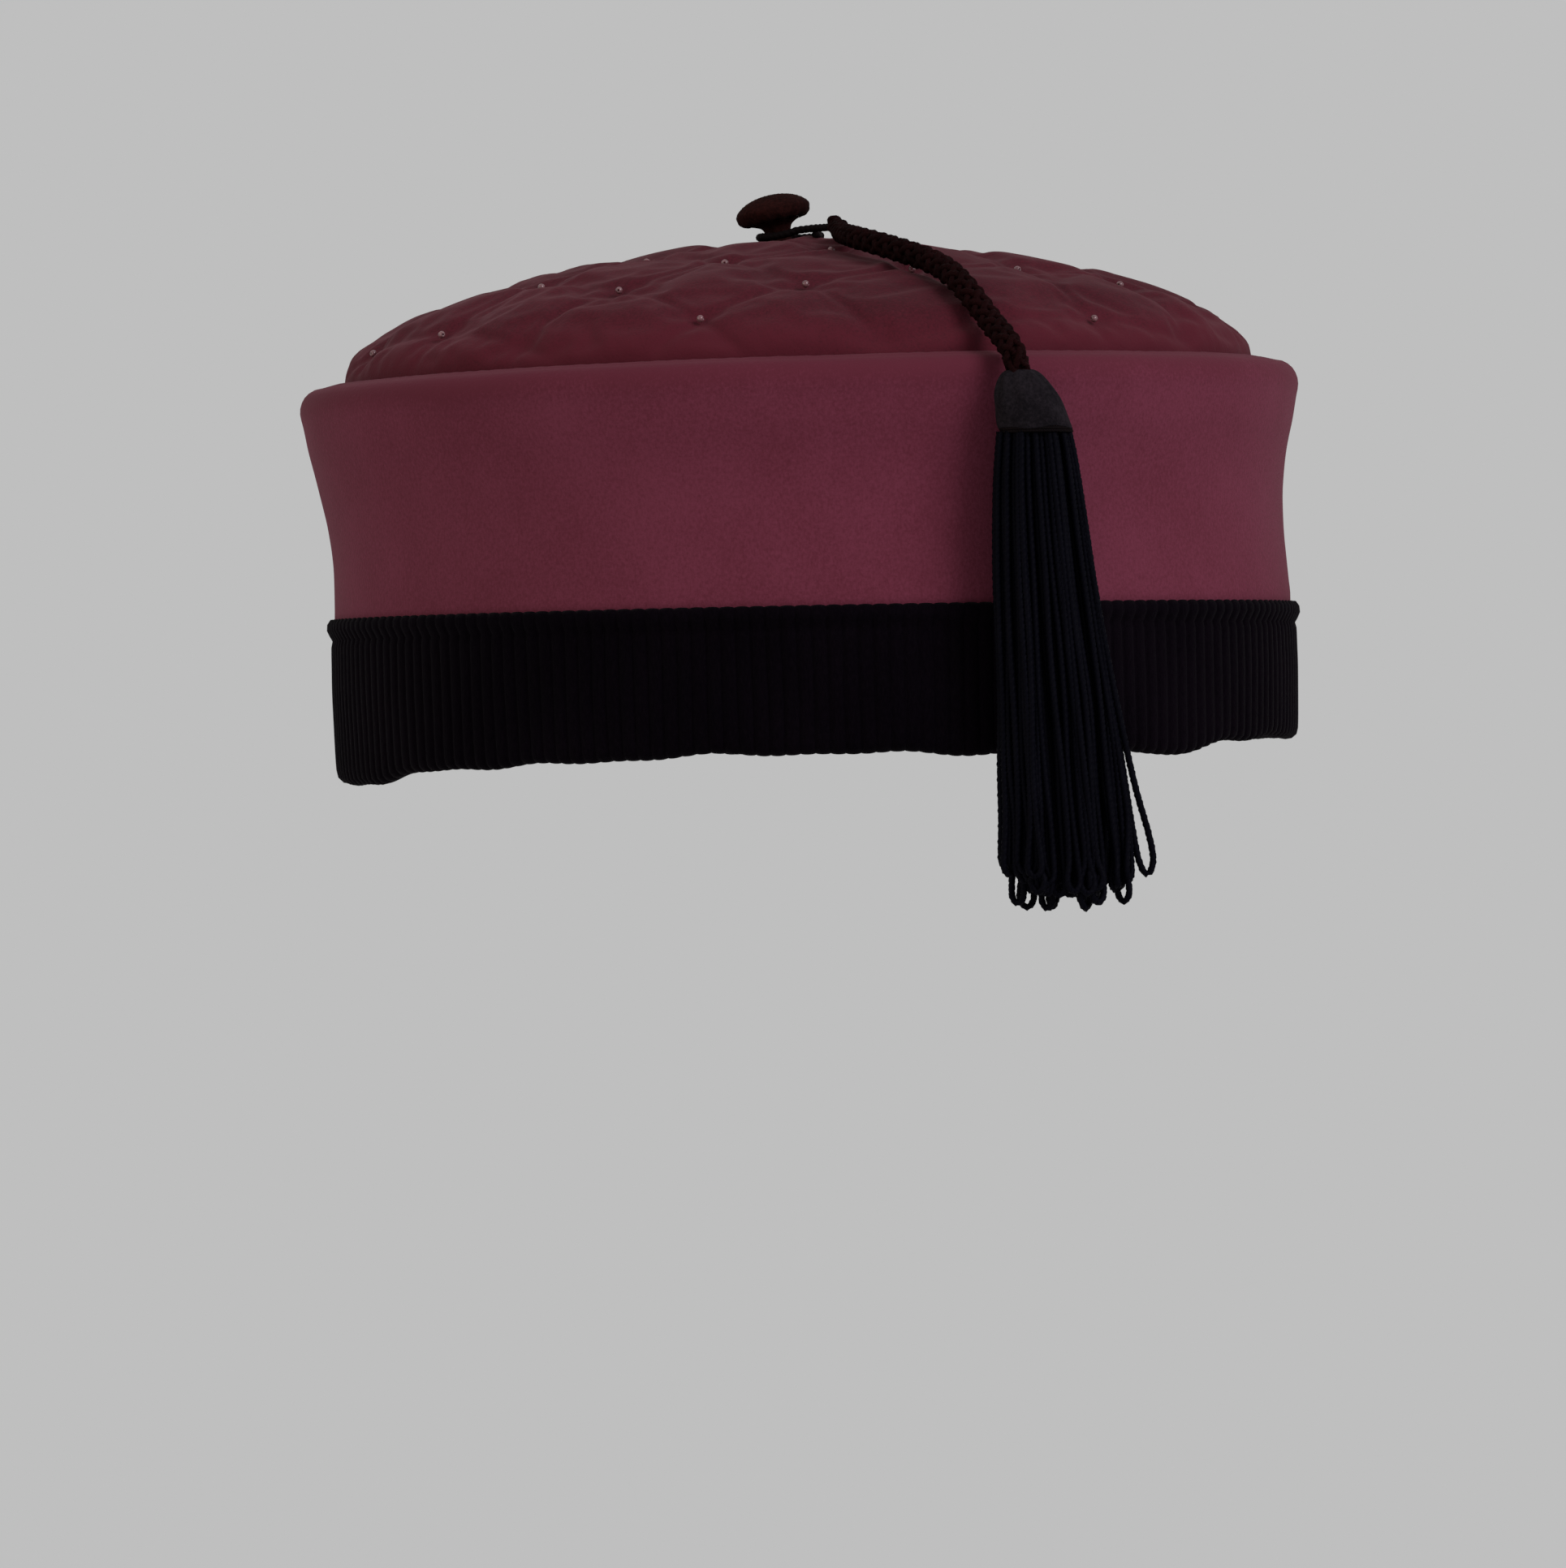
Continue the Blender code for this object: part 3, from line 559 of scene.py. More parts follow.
WALL_FOOT = 25.9
WALL_TOP = 75.0
WALL_LEAN = -0.0336
CROWN_SHIFT = WALL_LEAN * (WALL_TOP - WALL_FOOT)


def leaned(points):
    """The wall leans a little to one side above the hem band."""
    lean = WALL_LEAN * np.maximum(0, points[:, 2] - WALL_FOOT * MM)
    return points + np.column_stack([lean, 0 * lean, 0 * lean])


def finish_piece(piece, body, slot, finish, *nodes):
    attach(piece, body)
    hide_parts(*nodes)
    finish.put_on(piece)
    print(piece.name, "-", sum(len(f.vertices) - 2 for f in piece.data.polygons), "triangles")


# %% [markdown]
# ## Side band
# A strip of suede cloth, flared towards the top, rolled over at the rim and sewn to the crown
# along a narrow ledge. Its own seam is at the back.

# %% Side band
SIDE_OUTER = (
    (92.75, 75.2), (92.8, 76.6), (93.3, 77.2), (94.4, 77.1), (95.8, 76.8), (97.3, 76.4), (98.8, 76.1),
    (100.1, 75.2), (100.9, 74.0), (101.3, 72.6), (101.25, 71.2), (100.7, 69.0), (99.7, 64.5), (98.5, 60.0),
    (97.7, 56.0), (97.0, 50.5), (96.8, 46.0), (96.75, 41.0), (96.9, 36.5), (97.1, 32.0), (97.25, 29.6),
    (97.2, 28.0), (97.1, 26.0),
)
SIDE_INNER = (
    (95.9, 26.0), (95.6, 36.5), (95.5, 46.0), (96.4, 56.0), (98.3, 64.5), (99.6, 70.5), (99.9, 72.6),
    (99.0, 74.6), (97.3, 75.2), (94.2, 75.7), (94.0, 75.2),
)
WALL_RADIUS = 97.0
WALL_FREE = (27.0, 41.0)
SEAM_AT_BACK = math.radians(78.0)
SEAM_DEPTH = 0.45
SEAM_WIDTH = 0.9
SLACK_AT = math.radians(157.5)
SLACK_SPREAD = math.radians(34.0)
SLACK_HEIGHT = 57.0
SLACK_TALL = 12.0
SLACK_DEPTH = 1.1
LEDGE_RADIUS = 93.6
LEDGE_HEIGHT = 74.0
PUCKERS = 150
PUCKER_DEPTH = 0.07

side_band = grow_ring("wine_side_band", rounded(SIDE_OUTER, 1.1, SIDE_INNER), 320)
points, angle, radius, height = around_axis(side_band)
swell = 0.28 * uneven(points, 22.0, 1) + 0.12 * uneven(points, 70.0, 2)
slack = hump(turn_from(SLACK_AT, angle), SLACK_SPREAD) * hump(height - SLACK_HEIGHT, SLACK_TALL)
seam = hump(turn_from(SEAM_AT_BACK, angle) * WALL_RADIUS, SEAM_WIDTH)
swell = (swell + SLACK_DEPTH * slack - SEAM_DEPTH * seam) * ramp(height, *WALL_FREE)
sewn = hump(radius - LEDGE_RADIUS, math.sqrt(1.2)) * (height > LEDGE_HEIGHT)
pucker = PUCKER_DEPTH * sewn * np.sin(angle * PUCKERS + 3 * np.sin(angle * 11))
points = points + outward(side_band) * ((swell + pucker) * MM)[:, None]
set_points(side_band, leaned(points))
finish_piece(side_band, "cap", "side_suede", side_suede, "side_band")

# %% [markdown]
# ## Corduroy hem band
# Wide-wale corduroy is a row of soft ribs. They could be a bump pattern, but then the hem's edge
# would stay a clean line, and on the real cap every rib shows there as a small scallop. So the
# ring has eight columns for each rib, and the valleys between ribs are pressed in. The hem sags
# here and there, and the fold above it lies a little lower on one side.

# %% Hem band
RIBS = 206
RIB_DEPTH = 0.55
BAND_OUTER = (
    (97.4, 28.4), (97.7, 29.0), (98.2, 29.1), (98.7, 28.7), (99.0, 27.8), (99.05, 27.0), (98.8, 26.1),
    (98.2, 25.4), (97.9, 25.0), (98.0, 24.4), (98.2, 23.4), (98.2, 19.0), (98.2, 14.5), (98.1, 10.0),
    (98.0, 6.0), (97.9, 3.2), (97.75, 1.6), (97.3, 0.6), (96.4, 0.1), (95.4, 0.0), (94.4, 0.1),
    (93.7, 0.5), (93.4, 1.2),
)
BAND_INNER = (
    (93.4, 8.0), (93.5, 13.6), (93.9, 14.0), (94.2, 13.6), (94.3, 2.2), (95.4, 1.8), (96.3, 2.2),
    (96.3, 12.0), (96.3, 23.6), (97.4, 25.4), (97.3, 27.0),
)
COLUMNS_PER_RIB = 8
RIB_ROUNDNESS = 0.55
RIBS_FLATTEN = 0.55
HEM_WAVES = (
    # centre and width in degrees, rise in millimetres
    (176.0, 18.0, -3.3),
    (158.0, 22.0, -1.2),
    (-65.0, 6.5, -2.8),
    (-88.0, 18.0, -1.3),
    (-150.0, 16.0, -0.9),
)
WAVE_TOP = 18.0
BAND_RADIUS = 98.0
FOLD_SPAN = (26.0, 28.0)
FOLD_DROP = 0.35
FOLD_TILT = 1.15
TILT_TOWARDS = math.radians(-22.5)
TILT_SPAN = (14.0, 25.0)

hem_band = grow_ring("corduroy_band", rounded(BAND_OUTER, 1.25, BAND_INNER), RIBS * COLUMNS_PER_RIB)
points, angle, radius, height = around_axis(hem_band)
wander = 0.10 * np.sin(angle * 9 + height * 0.12) + 0.07 * np.sin(angle * 23 - height * 0.2)
rib = np.abs(np.cos(RIBS / 2 * angle)) ** RIB_ROUNDNESS
shown = ramp(radius, 94.5, 96.5) * (1 - RIBS_FLATTEN * ramp(height, *FOLD_SPAN))
relief = -RIB_DEPTH * (1 - rib) * shown
soft = 0.30 * uneven(points, 24.0, 3) * ramp(height, 27.0, 17.0)

lift = 0.30 * np.sin(angle * 17 + 1.0) + 0.20 * np.sin(angle * 31)
for centre, width, rise in HEM_WAVES:
    lift = lift + rise * hump(turn_from(math.radians(centre), angle), math.radians(width))
points = points + outward(hem_band) * ((relief + soft) * MM)[:, None]
points[:, 2] += lift * ramp(height, WAVE_TOP, 0.0) ** 1.5 * MM
tilt_way = np.array((math.cos(TILT_TOWARDS), math.sin(TILT_TOWARDS)))
tilted = points[:, :2] @ tilt_way / (BAND_RADIUS * MM)
points[:, 2] -= (FOLD_DROP + FOLD_TILT * tilted) * ramp(height, *TILT_SPAN) * MM
points[:, 0] -= np.sin(angle) * wander * MM
points[:, 1] += np.cos(angle) * wander * MM
set_points(hem_band, points)
finish_piece(hem_band, "cap", "hem_corduroy", corduroy, "hem_band")

# %% [markdown]
# ## Crown
# The crown is one round of velvet over wadding, quilted in diamonds, with a bead sewn through at
# every crossing. A plain dome with a pattern painted on it would lose the puffs in its outline.
# A grid is laid over the dome so that its edges run along the stitches, the stitched points are
# held, and the cloth between them is blown up by a short cloth simulation.

# %% The dome and the lattice
CROWN_RADIUS = 92.4
CROWN_BASE = 78.0
CROWN_RISE = 26.7
CROWN_SPREAD = 1.25
CROWN_LIFT = 1.1
QUILT_SIDES = (26.1, 30.3)
QUILT_ANGLES = (math.radians(12.0), math.radians(99.7))
QUILT_ORIGIN = np.array((-10.0, -1.5))
QUILT_CELLS = 5
CELL_STEPS = 16
SHOULDER_AT = 90.0
SHOULDER_WIDTH = 9.0
SHOULDER_SWELL = 0.2
CORD_AT = math.radians(-90.0)
CORD_CLEAR = math.radians(28.0)
SLOPE_AT = 36.0
SLOPE_WIDTH = 14.0
SLOPE_SINK = 0.4
NEARLY_ZERO = 1e-6

dome_turns = np.linspace(0, math.pi / 2, 600)
dome_radius = CROWN_RADIUS * np.sin(dome_turns) ** CROWN_SPREAD
dome_height = CROWN_BASE + CROWN_RISE * np.cos(dome_turns) ** CROWN_LIFT
dome_walk = np.concatenate([[0], np.cumsum(np.hypot(np.diff(dome_radius), np.diff(dome_height)))])
dome_lean = np.arctan2(-np.gradient(dome_height), np.gradient(dome_radius))
crown_reach = dome_walk[-1]
quilt_a, quilt_b = (
    side * np.array((math.cos(turn), math.sin(turn))) for side, turn in zip(QUILT_SIDES, QUILT_ANGLES)
)


def from_lattice(places):
    """Flat cloth, in millimetres from the crown's top, from places counted in quilt cells."""
    return QUILT_ORIGIN + places[:, :1] * quilt_a + places[:, 1:] * quilt_b


def eased(flat):
    """How far the cloth stands out from the dome: fuller at the shoulder, flatter further in."""
    far = np.linalg.norm(flat, axis=1)
    from_cord = turn_from(CORD_AT, np.arctan2(flat[:, 1], flat[:, 0]))
    shoulder = SHOULDER_SWELL * hump(far - SHOULDER_AT, SHOULDER_WIDTH) * (1 - hump(from_cord, CORD_CLEAR))
    return shoulder - SLOPE_SINK * hump(far - SLOPE_AT, SLOPE_WIDTH)


def laid_on_crown(flat, depth):
    """Flat cloth, in millimetres from the crown's top, laid over the dome and sunk by a depth."""
    far = np.maximum(np.linalg.norm(flat, axis=1), NEARLY_ZERO)
    lean = np.interp(far, dome_walk, dome_lean)
    radius = np.interp(far, dome_walk, dome_radius) - depth * np.sin(lean)
    height = np.interp(far, dome_walk, dome_height) - depth * np.cos(lean)
    height = height - np.maximum(0, far - crown_reach)
    place = flat / far[:, None] * radius[:, None]
    return np.column_stack([place[:, 0] + CROWN_SHIFT, place[:, 1], height]) * MM


def delete_marked(piece, elements, marks):
    """Deletes the marked vertices or polygons of a piece."""
    bpy.ops.object.mode_set(mode="EDIT")
    bpy.ops.mesh.select_all(action="DESELECT")
    bpy.ops.object.mode_set(mode="OBJECT")
    getattr(piece.data, elements).foreach_set("select", marks)
    bpy.ops.object.mode_set(mode="EDIT")
    bpy.ops.mesh.delete(type="VERT" if elements == "vertices" else "FACE")
    bpy.ops.object.mode_set(mode="OBJECT")


# %% The quilted cloth, before it is filled
LINE_DEPTH = 1.5
TUFT_DEPTH = 1.1
TUFT_RADIUS = 3.4
TUCKS = 5
TUCK_DEPTH = 0.28
TUCK_AT = 4.5
TUCK_WIDTH = 2.6
BUTTON_SEAT = np.array((-3.05, 1.0))
BUTTON_DIMPLE = 1.2
DIMPLE_RADIUS = 7.0
CROWN_EDGE = 3.0
EDGE_FLAT = 0.15
HELD_AT_EDGE = 1.5
HELD_AT_BUTTON = 5.0

start_clean()
segments = 2 * QUILT_CELLS * CELL_STEPS
bpy.ops.mesh.primitive_grid_add(x_subdivisions=segments, y_subdivisions=segments, size=2 * QUILT_CELLS)
quilt = bpy.context.object
quilt.name = "quilted_crown"
quilt.data.name = "quilted_crown"
flat = from_lattice(points_of(quilt)[:, :2])
delete_marked(quilt, "vertices", np.linalg.norm(flat, axis=1) > crown_reach + CROWN_EDGE + 1.0)

places = points_of(quilt)[:, :2]
flat = from_lattice(places)
far = np.linalg.norm(flat, axis=1)
flat = flat * np.minimum(1, (crown_reach + CROWN_EDGE) / np.maximum(far, NEARLY_ZERO))[:, None]
within = places - np.floor(places + 1e-4)
puff = np.sqrt(np.clip(16 * (within * (1 - within)).prod(axis=1), 0, 1))
crossing = from_lattice(np.rint(places))
to_bead = np.linalg.norm(flat - crossing, axis=1)
around = np.arctan2(flat[:, 1] - crossing[:, 1], flat[:, 0] - crossing[:, 0]) + crossing.sum(axis=1)
depth = LINE_DEPTH * (1 - puff) + TUFT_DEPTH * hump(to_bead, TUFT_RADIUS)
depth = depth + TUCK_DEPTH * hump(to_bead - TUCK_AT, TUCK_WIDTH) * np.cos(TUCKS * around)
from_button = np.linalg.norm(flat - BUTTON_SEAT, axis=1)
depth = np.maximum(depth, BUTTON_DIMPLE * hump(from_button, DIMPLE_RADIUS))
depth = depth * np.maximum(EDGE_FLAT, ramp(far, crown_reach + 1.0, crown_reach - CROWN_EDGE))
set_points(quilt, laid_on_crown(flat, depth - eased(flat)))
on_line = (np.abs(places - np.rint(places)) < 1e-3).any(axis=1)
held = on_line | (far > crown_reach - HELD_AT_EDGE) | (from_button < HELD_AT_BUTTON)
print("crown points:", len(places), "held by stitches:", int(held.sum()))

# %% Filling the quilt
FILL_FRAMES = 22
FILL_CAP = 1.1 * MM

before = points_of(quilt)
pins = quilt.vertex_groups.new(name="stitches")
pins.add([int(k) for k in np.flatnonzero(held)], 1.0, "REPLACE")
cloth = quilt.modifiers.new("filling", "CLOTH")
cloth.settings.quality = 6
cloth.settings.mass = 0.1
cloth.settings.tension_stiffness = 12.0
cloth.settings.compression_stiffness = 12.0
cloth.settings.shear_stiffness = 4.0
cloth.settings.bending_stiffness = 0.02
cloth.settings.shrink_min = -0.035
cloth.settings.use_pressure = True
cloth.settings.uniform_pressure_force = 1.5
cloth.settings.vertex_group_mass = "stitches"
cloth.settings.effector_weights.gravity = 0.0
cloth.point_cache.frame_start = 1
cloth.point_cache.frame_end = FILL_FRAMES
for step in range(1, FILL_FRAMES + 1):
    bpy.context.scene.frame_set(step)
seen = quilt.evaluated_get(bpy.context.evaluated_depsgraph_get())
filled = points_of(seen)
quilt.modifiers.remove(cloth)
moved = filled - before
far_moved = np.linalg.norm(moved, axis=1)
moved *= np.minimum(1, FILL_CAP / np.maximum(far_moved, 1e-9))[:, None]
set_points(quilt, before + moved)
bpy.context.scene.frame_set(1)
print("quilt moved by up to", round(float(far_moved.max()) / MM, 2), "mm")

# %% Rounding off the quilt
start_clean()
quilt.select_set(True)
bpy.context.view_layer.objects.active = quilt
finer = quilt.modifiers.new("finer", "SUBSURF")
finer.levels = 1
finer.render_levels = 1
bpy.ops.object.modifier_apply(modifier=finer.name)
bpy.ops.object.shade_smooth()
finish_piece(quilt, "cap", "crown_velvet", crown_velvet, "crown_top")

# %% [markdown]
# ## Beads
# A small pearl bead is sewn on at every crossing. One is modelled, with a drilled hole, and
# copied; each copy has its own mesh, set where its solid sits and moved with the eased cloth.

# %% Beads
BEAD_RADIUS = 0.74 * MM
HOLE_AT = 0.9 * BEAD_RADIUS
BEAD_TURN = 1.9

pearl = Finish("pearl", roughness=0.3, coat_weight=0.35, coat_roughness=0.15)
lustre = pearl.place.noise(900.0, 2.0)
pearl.feed("Base Color", lustre.between(0.3, 0.7).tint(paint(84, 48, 53), paint(114, 76, 80)))

start_clean()
bpy.ops.mesh.primitive_uv_sphere_add(segments=16, ring_count=10, radius=BEAD_RADIUS)
bead = bpy.context.object
delete_marked(bead, "polygons", [abs(face.center.z) > HOLE_AT for face in bead.data.polygons])
bpy.ops.object.mode_set(mode="EDIT")
bpy.ops.mesh.select_all(action="DESELECT")
bpy.ops.mesh.select_non_manifold()
bpy.ops.mesh.bridge_edge_loops()
bpy.ops.object.mode_set(mode="OBJECT")
bpy.ops.object.shade_smooth()
print("bead faces:", len(bead.data.polygons))

bead_nodes = sorted(name for name in frame["nodes"] if name.startswith("crown_bead_"))
for count, name in enumerate(bead_nodes):
    low_corner, high_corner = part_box(name)
    centre = (low_corner + high_corner) / 2
    spot = np.array(centre.xy) / MM - (CROWN_SHIFT, 0.0)
    reach = max(np.linalg.norm(spot), NEARLY_ZERO)
    walked = np.interp(reach, dome_radius, dome_walk)
    slope = np.interp(walked, dome_walk, dome_lean)
    outwards = Vector((*(spot / reach * math.sin(slope)), math.cos(slope)))
    centre += outwards * float(eased(spot[None] / reach * walked)[0]) * MM
    lying = Matrix.Rotation(BEAD_TURN * count, 4, "Z") @ Matrix.Rotation(math.pi / 2, 4, "X")
    copy = bpy.data.objects.new("pearl_" + name[-2:], bead.data.copy())
    copy.data.transform(Matrix.Translation(centre) @ lying)
    bpy.context.scene.collection.objects.link(copy)
    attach(copy, "cap")
    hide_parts(name)
    pearl.put_on(copy)
bpy.data.objects.remove(bead)
print("beads:", len(bead_nodes))

# %% [markdown]
# ## Linings and sweatband
# Inside, a satin lining hangs loose in the crown and follows the wall, and a ribbon covers the
# turned-up hem. Satin shows by its long soft highlights, so its surface is gently wrinkled.

# %% Linings
LINING_RADIUS = 93.0
LINING_BASE = 72.6
LINING_RISE = 23.9
LINING_THICK = 0.45
LINING_GATHERS = 26
WALL_LINING_RADII = (94.15, 93.75)
WALL_LINING_HEIGHTS = (71.3, 14.5)

satin = Finish("satin", roughness=0.4, sheen_weight=0.1)
thread_run = satin.place.stretched(1.0, 1.0, 6.0).noise(900.0, 1.0)
crease = satin.place.noise(45.0, 2.0)
satin_tone = (thread_run * 0.4 + crease * 0.6).between(0.3, 0.7)
satin.feed("Base Color", satin_tone.tint(paint(96, 50, 58), paint(128, 74, 80)))
satin.feed("Roughness", 0.34 + thread_run * 0.16)
satin.feed("Normal", thread_run.bump(0.05 * MM, 0.4))

shares = np.sin(np.linspace(0.02, 1, 34) * math.pi / 2)
lining_top = [(LINING_RADIUS * s, LINING_BASE + LINING_RISE * (1 - s**1.6)) for s in shares]
lining_under = [(r, z - LINING_THICK) for r, z in lining_top[::-1]]
crown_lining = grow_ring("crown_lining_cloth", lining_top + lining_under, 180)
points, angle, radius, height = around_axis(crown_lining)
from_seam = LINING_RADIUS - radius
gather = 0.5 * np.sin(angle * LINING_GATHERS + 2 * np.sin(angle * 5))
gather = gather * ramp(radius, 0.0, 30.0) * ramp(from_seam, 0.0, 12.0)
points[:, 2] -= (np.abs(gather) + 0.2) * MM * ramp(from_seam, 0.0, 4.0)
points[:, 0] += CROWN_SHIFT * MM
set_points(crown_lining, points)
finish_piece(crown_lining, "cap", "lining_satin", satin, "crown_lining")

wall_heights = np.linspace(*WALL_LINING_HEIGHTS, 20)
wall_outline = [(WALL_LINING_RADII[0], z) for z in wall_heights]
wall_outline += [(WALL_LINING_RADII[1], z) for z in wall_heights[::-1]]
wall_lining = grow_ring("wall_lining_cloth", wall_outline, 240)
points, angle, radius, height = around_axis(wall_lining)
hang = ramp(height, 14.0, 24.0) * ramp(height, 71.5, 61.5)
loose = 0.22 * hang * (1 + np.sin(angle * 34 + 4 * np.sin(angle * 7)))
points[:, :2] *= (1 - loose / 94.0)[:, None]
set_points(wall_lining, leaned(points))
finish_piece(wall_lining, "cap", "lining_satin", satin, "side_lining")

# %% Sweatband
RIBBON_RADII = (93.05, 92.8, 92.55)
RIBBON_HEIGHTS = (32.8, 2.0)
RIBBON_EDGES = (33.0, 1.6)
RIBBON_CORDS = 720

ribbon = Finish("grosgrain", roughness=0.55)
ribbon_turn = ribbon.place.node("TexGradient", {"gradient_type": "RADIAL"}, {"Vector": ribbon.place}, "Fac")
cord_rib = (ribbon_turn * (2 * math.pi * RIBBON_CORDS)).sine()
ribbon_fade = ribbon.place.noise(60.0, 2.0)
ribbon.feed("Base Color", ribbon_fade.between(0.3, 0.7).tint(paint(34, 26, 28), paint(56, 45, 47)))
ribbon.feed("Normal", cord_rib.bump(0.12 * MM, 0.5))

ribbon_outside, ribbon_middle, ribbon_inside = RIBBON_RADII
ribbon_heights = np.linspace(*RIBBON_HEIGHTS, 14)
ribbon_outline = [(ribbon_outside, z) for z in ribbon_heights] + [(ribbon_middle, RIBBON_EDGES[1])]
ribbon_outline += [(ribbon_inside, z) for z in ribbon_heights[::-1]] + [(ribbon_middle, RIBBON_EDGES[0])]
sweatband = grow_ring("ribbon_sweatband", ribbon_outline, 240)
points, angle, radius, height = around_axis(sweatband)
flare = ramp(height, 10.0, 33.0) ** 2
points[:, :2] *= (1 - 0.25 * flare * (1 + np.sin(angle * 9 + 1)) / LINING_RADIUS)[:, None]
set_points(sweatband, points)
finish_piece(sweatband, "cap", "ribbon", ribbon, "sweatband")

# %% [markdown]
# ## Button and stalk
# The button is a knitted cover drawn over a mould. It leans to one side on a stalk of gathered
# cloth. The cover is grown as a ring at the origin, given the rows of the knit, and then tilted.
# The stalk's upper end is bent once to the button's tilt, so that no gap opens under
# the button.

# %% Button
BUTTON_PIVOT = Vector((-4.7, 1.0, 105.45)) * MM
BUTTON_TILT = math.radians(10.8)
BUTTON_LEAN = math.radians(157.5)
BUTTON_OUTER = (
    (0.3, 8.2), (1.7, 8.13), (3.15, 7.88), (4.6, 7.45), (5.85, 6.85), (6.8, 6.14), (7.4, 5.46),
    (7.6, 5.0), (7.5, 4.36), (7.15, 3.72), (6.5, 3.17), (5.75, 2.92),
)
BUTTON_INNER = (
    (5.65, 3.45), (6.4, 3.8), (6.8, 4.65), (6.9, 5.2), (6.2, 6.0), (4.5, 6.9), (2.3, 7.5), (0.3, 7.65),
)
KNIT_PACE = (3.6, 2.9)
KNIT_DEPTH = 0.16
KNIT_SPAN = (3.0, 4.0)
GATHERS = 14
GATHER_DEPTH = 0.14
GATHER_SPAN = (4.6, 3.1)

button_cover = grow_ring("knitted_button_cover", rounded(BUTTON_OUTER, 0.22, BUTTON_INNER), 96)
points, angle, radius, height = around_axis(button_cover)
rows = np.abs(np.sin(points[:, :2] / MM * KNIT_PACE)).prod(axis=1)
stitch = KNIT_DEPTH * (rows - 0.4) * ramp(height, *KNIT_SPAN)
gathers = GATHER_DEPTH * (1.3 + np.sin(angle * GATHERS)) * ramp(height, *GATHER_SPAN)
set_points(button_cover, points + outward(button_cover) * ((stitch + gathers) * MM)[:, None])
lean = Vector((math.cos(BUTTON_LEAN), math.sin(BUTTON_LEAN), 0.0))
hinge = plumb.cross(lean)
button_cover.data.transform(Matrix.Translation(BUTTON_PIVOT) @ Matrix.Rotation(BUTTON_TILT, 4, hinge))
finish_piece(button_cover, "button", "button_knit", button_knit, "button_cover")

# %% Stalk
STALK_OUTLINE = (
    (0.3, 108.3), (4.4, 108.3), (5.2, 108.15), (4.2, 107.75), (3.2, 107.2), (2.75, 106.4), (2.65, 105.4),
    (2.7, 104.8), (2.85, 104.2), (3.1, 103.6), (3.5, 103.1), (0.3, 103.0),
)
STALK_BEND = (104.2, 108.2)
PLEATS = 5
PLEAT_DEPTH = 0.12

stalk = grow_ring("gathered_stalk", rounded(STALK_OUTLINE, 0.25), 72)
points, angle, radius, height = around_axis(stalk)
pleat = np.abs(np.sin(angle * PLEATS + height * 0.5)) ** 0.7
points[:, :2] *= (1 - PLEAT_DEPTH * (1 - pleat))[:, None]
points[:, 2] -= BUTTON_PIVOT.z
share = ramp(height, *STALK_BEND)
bend = BUTTON_TILT * share**2 * (3 - 2 * share)
hinge = np.array(hinge)
along = np.outer(points @ hinge, hinge)
points = along + (points - along) * np.cos(bend)[:, None] + np.cross(hinge, points) * np.sin(bend)[:, None]
set_points(stalk, points + np.array(BUTTON_PIVOT))
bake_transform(stalk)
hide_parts("button_shank")
button_knit.put_on(stalk)
print("stalk:", len(points), "points")

# %% [markdown]
# ## Tassel
# A charcoal cloth bell covers the tassel's mould, a thread binds it, and looped cords hang from it.
# Fringe could be one grooved block, but the light between the loops at the bottom is what makes it
# a tassel. Every loop is a plied strand that goes down, turns and comes back up beside itself.

# %% Tassel head
TASSEL_X = -0.7
TASSEL_Y = -108.2
HEAD_TOP = 72.6
HEAD_LEAN = 0.26
HEAD_ASIDE = 0.8
HEAD_FLATTENING = 0.8
HEAD_OUTER = (
    (1.5, 72.8), (2.6, 72.9), (3.8, 72.2), (4.8, 71.0), (5.6, 69.6), (6.2, 68.2), (6.7, 66.6),
    (7.05, 65.0), (7.25, 63.6), (7.35, 62.6), (7.35, 61.9), (7.2, 61.5),
)
HEAD_INNER = ((6.8, 61.6), (6.75, 62.4), (6.3, 64.8), (5.4, 68.0), (4.0, 70.4), (2.4, 71.8), (1.5, 72.1))
HEAD_FOLDS = 9
HEAD_FOLD_DEPTH = 0.05
HEAD_FOLD_SPAN = (62.4, 71.4)


def hang_on_line(points):
    """Moves a piece from the axis to the tassel's line, pressed flat and leaning as it falls."""
    drop = HEAD_TOP * MM - points[:, 2]
    x = (TASSEL_X + HEAD_ASIDE) * MM + points[:, 0] + HEAD_LEAN * drop
    y = TASSEL_Y * MM + points[:, 1] * HEAD_FLATTENING
    return np.column_stack([x, y, points[:, 2]])


tassel_head = grow_ring("cloth_bell", rounded(HEAD_OUTER, 0.3, HEAD_INNER), 96)
points, angle, radius, height = around_axis(tassel_head)
high = ramp(height, *HEAD_FOLD_SPAN)
folds = HEAD_FOLD_DEPTH * high * np.sin(angle * HEAD_FOLDS + 1.0) + 0.015 * np.sin(angle * 5 + height)
points[:, :2] *= (1 + folds)[:, None]
points[:, 2] += 0.25 * MM * np.sin(angle * 4 + 0.6) * (1 - high)
set_points(tassel_head, hang_on_line(points))
finish_piece(tassel_head, "tassel", "head_knit", head_knit, "tassel_head_cover")

# %% Binding thread
BINDING_TURNS = 2.5
BINDING_REACH = 7.0
BINDING_TOP = 61.8
BINDING_STEP = 0.5
BINDING_RADIUS = 0.38 * MM

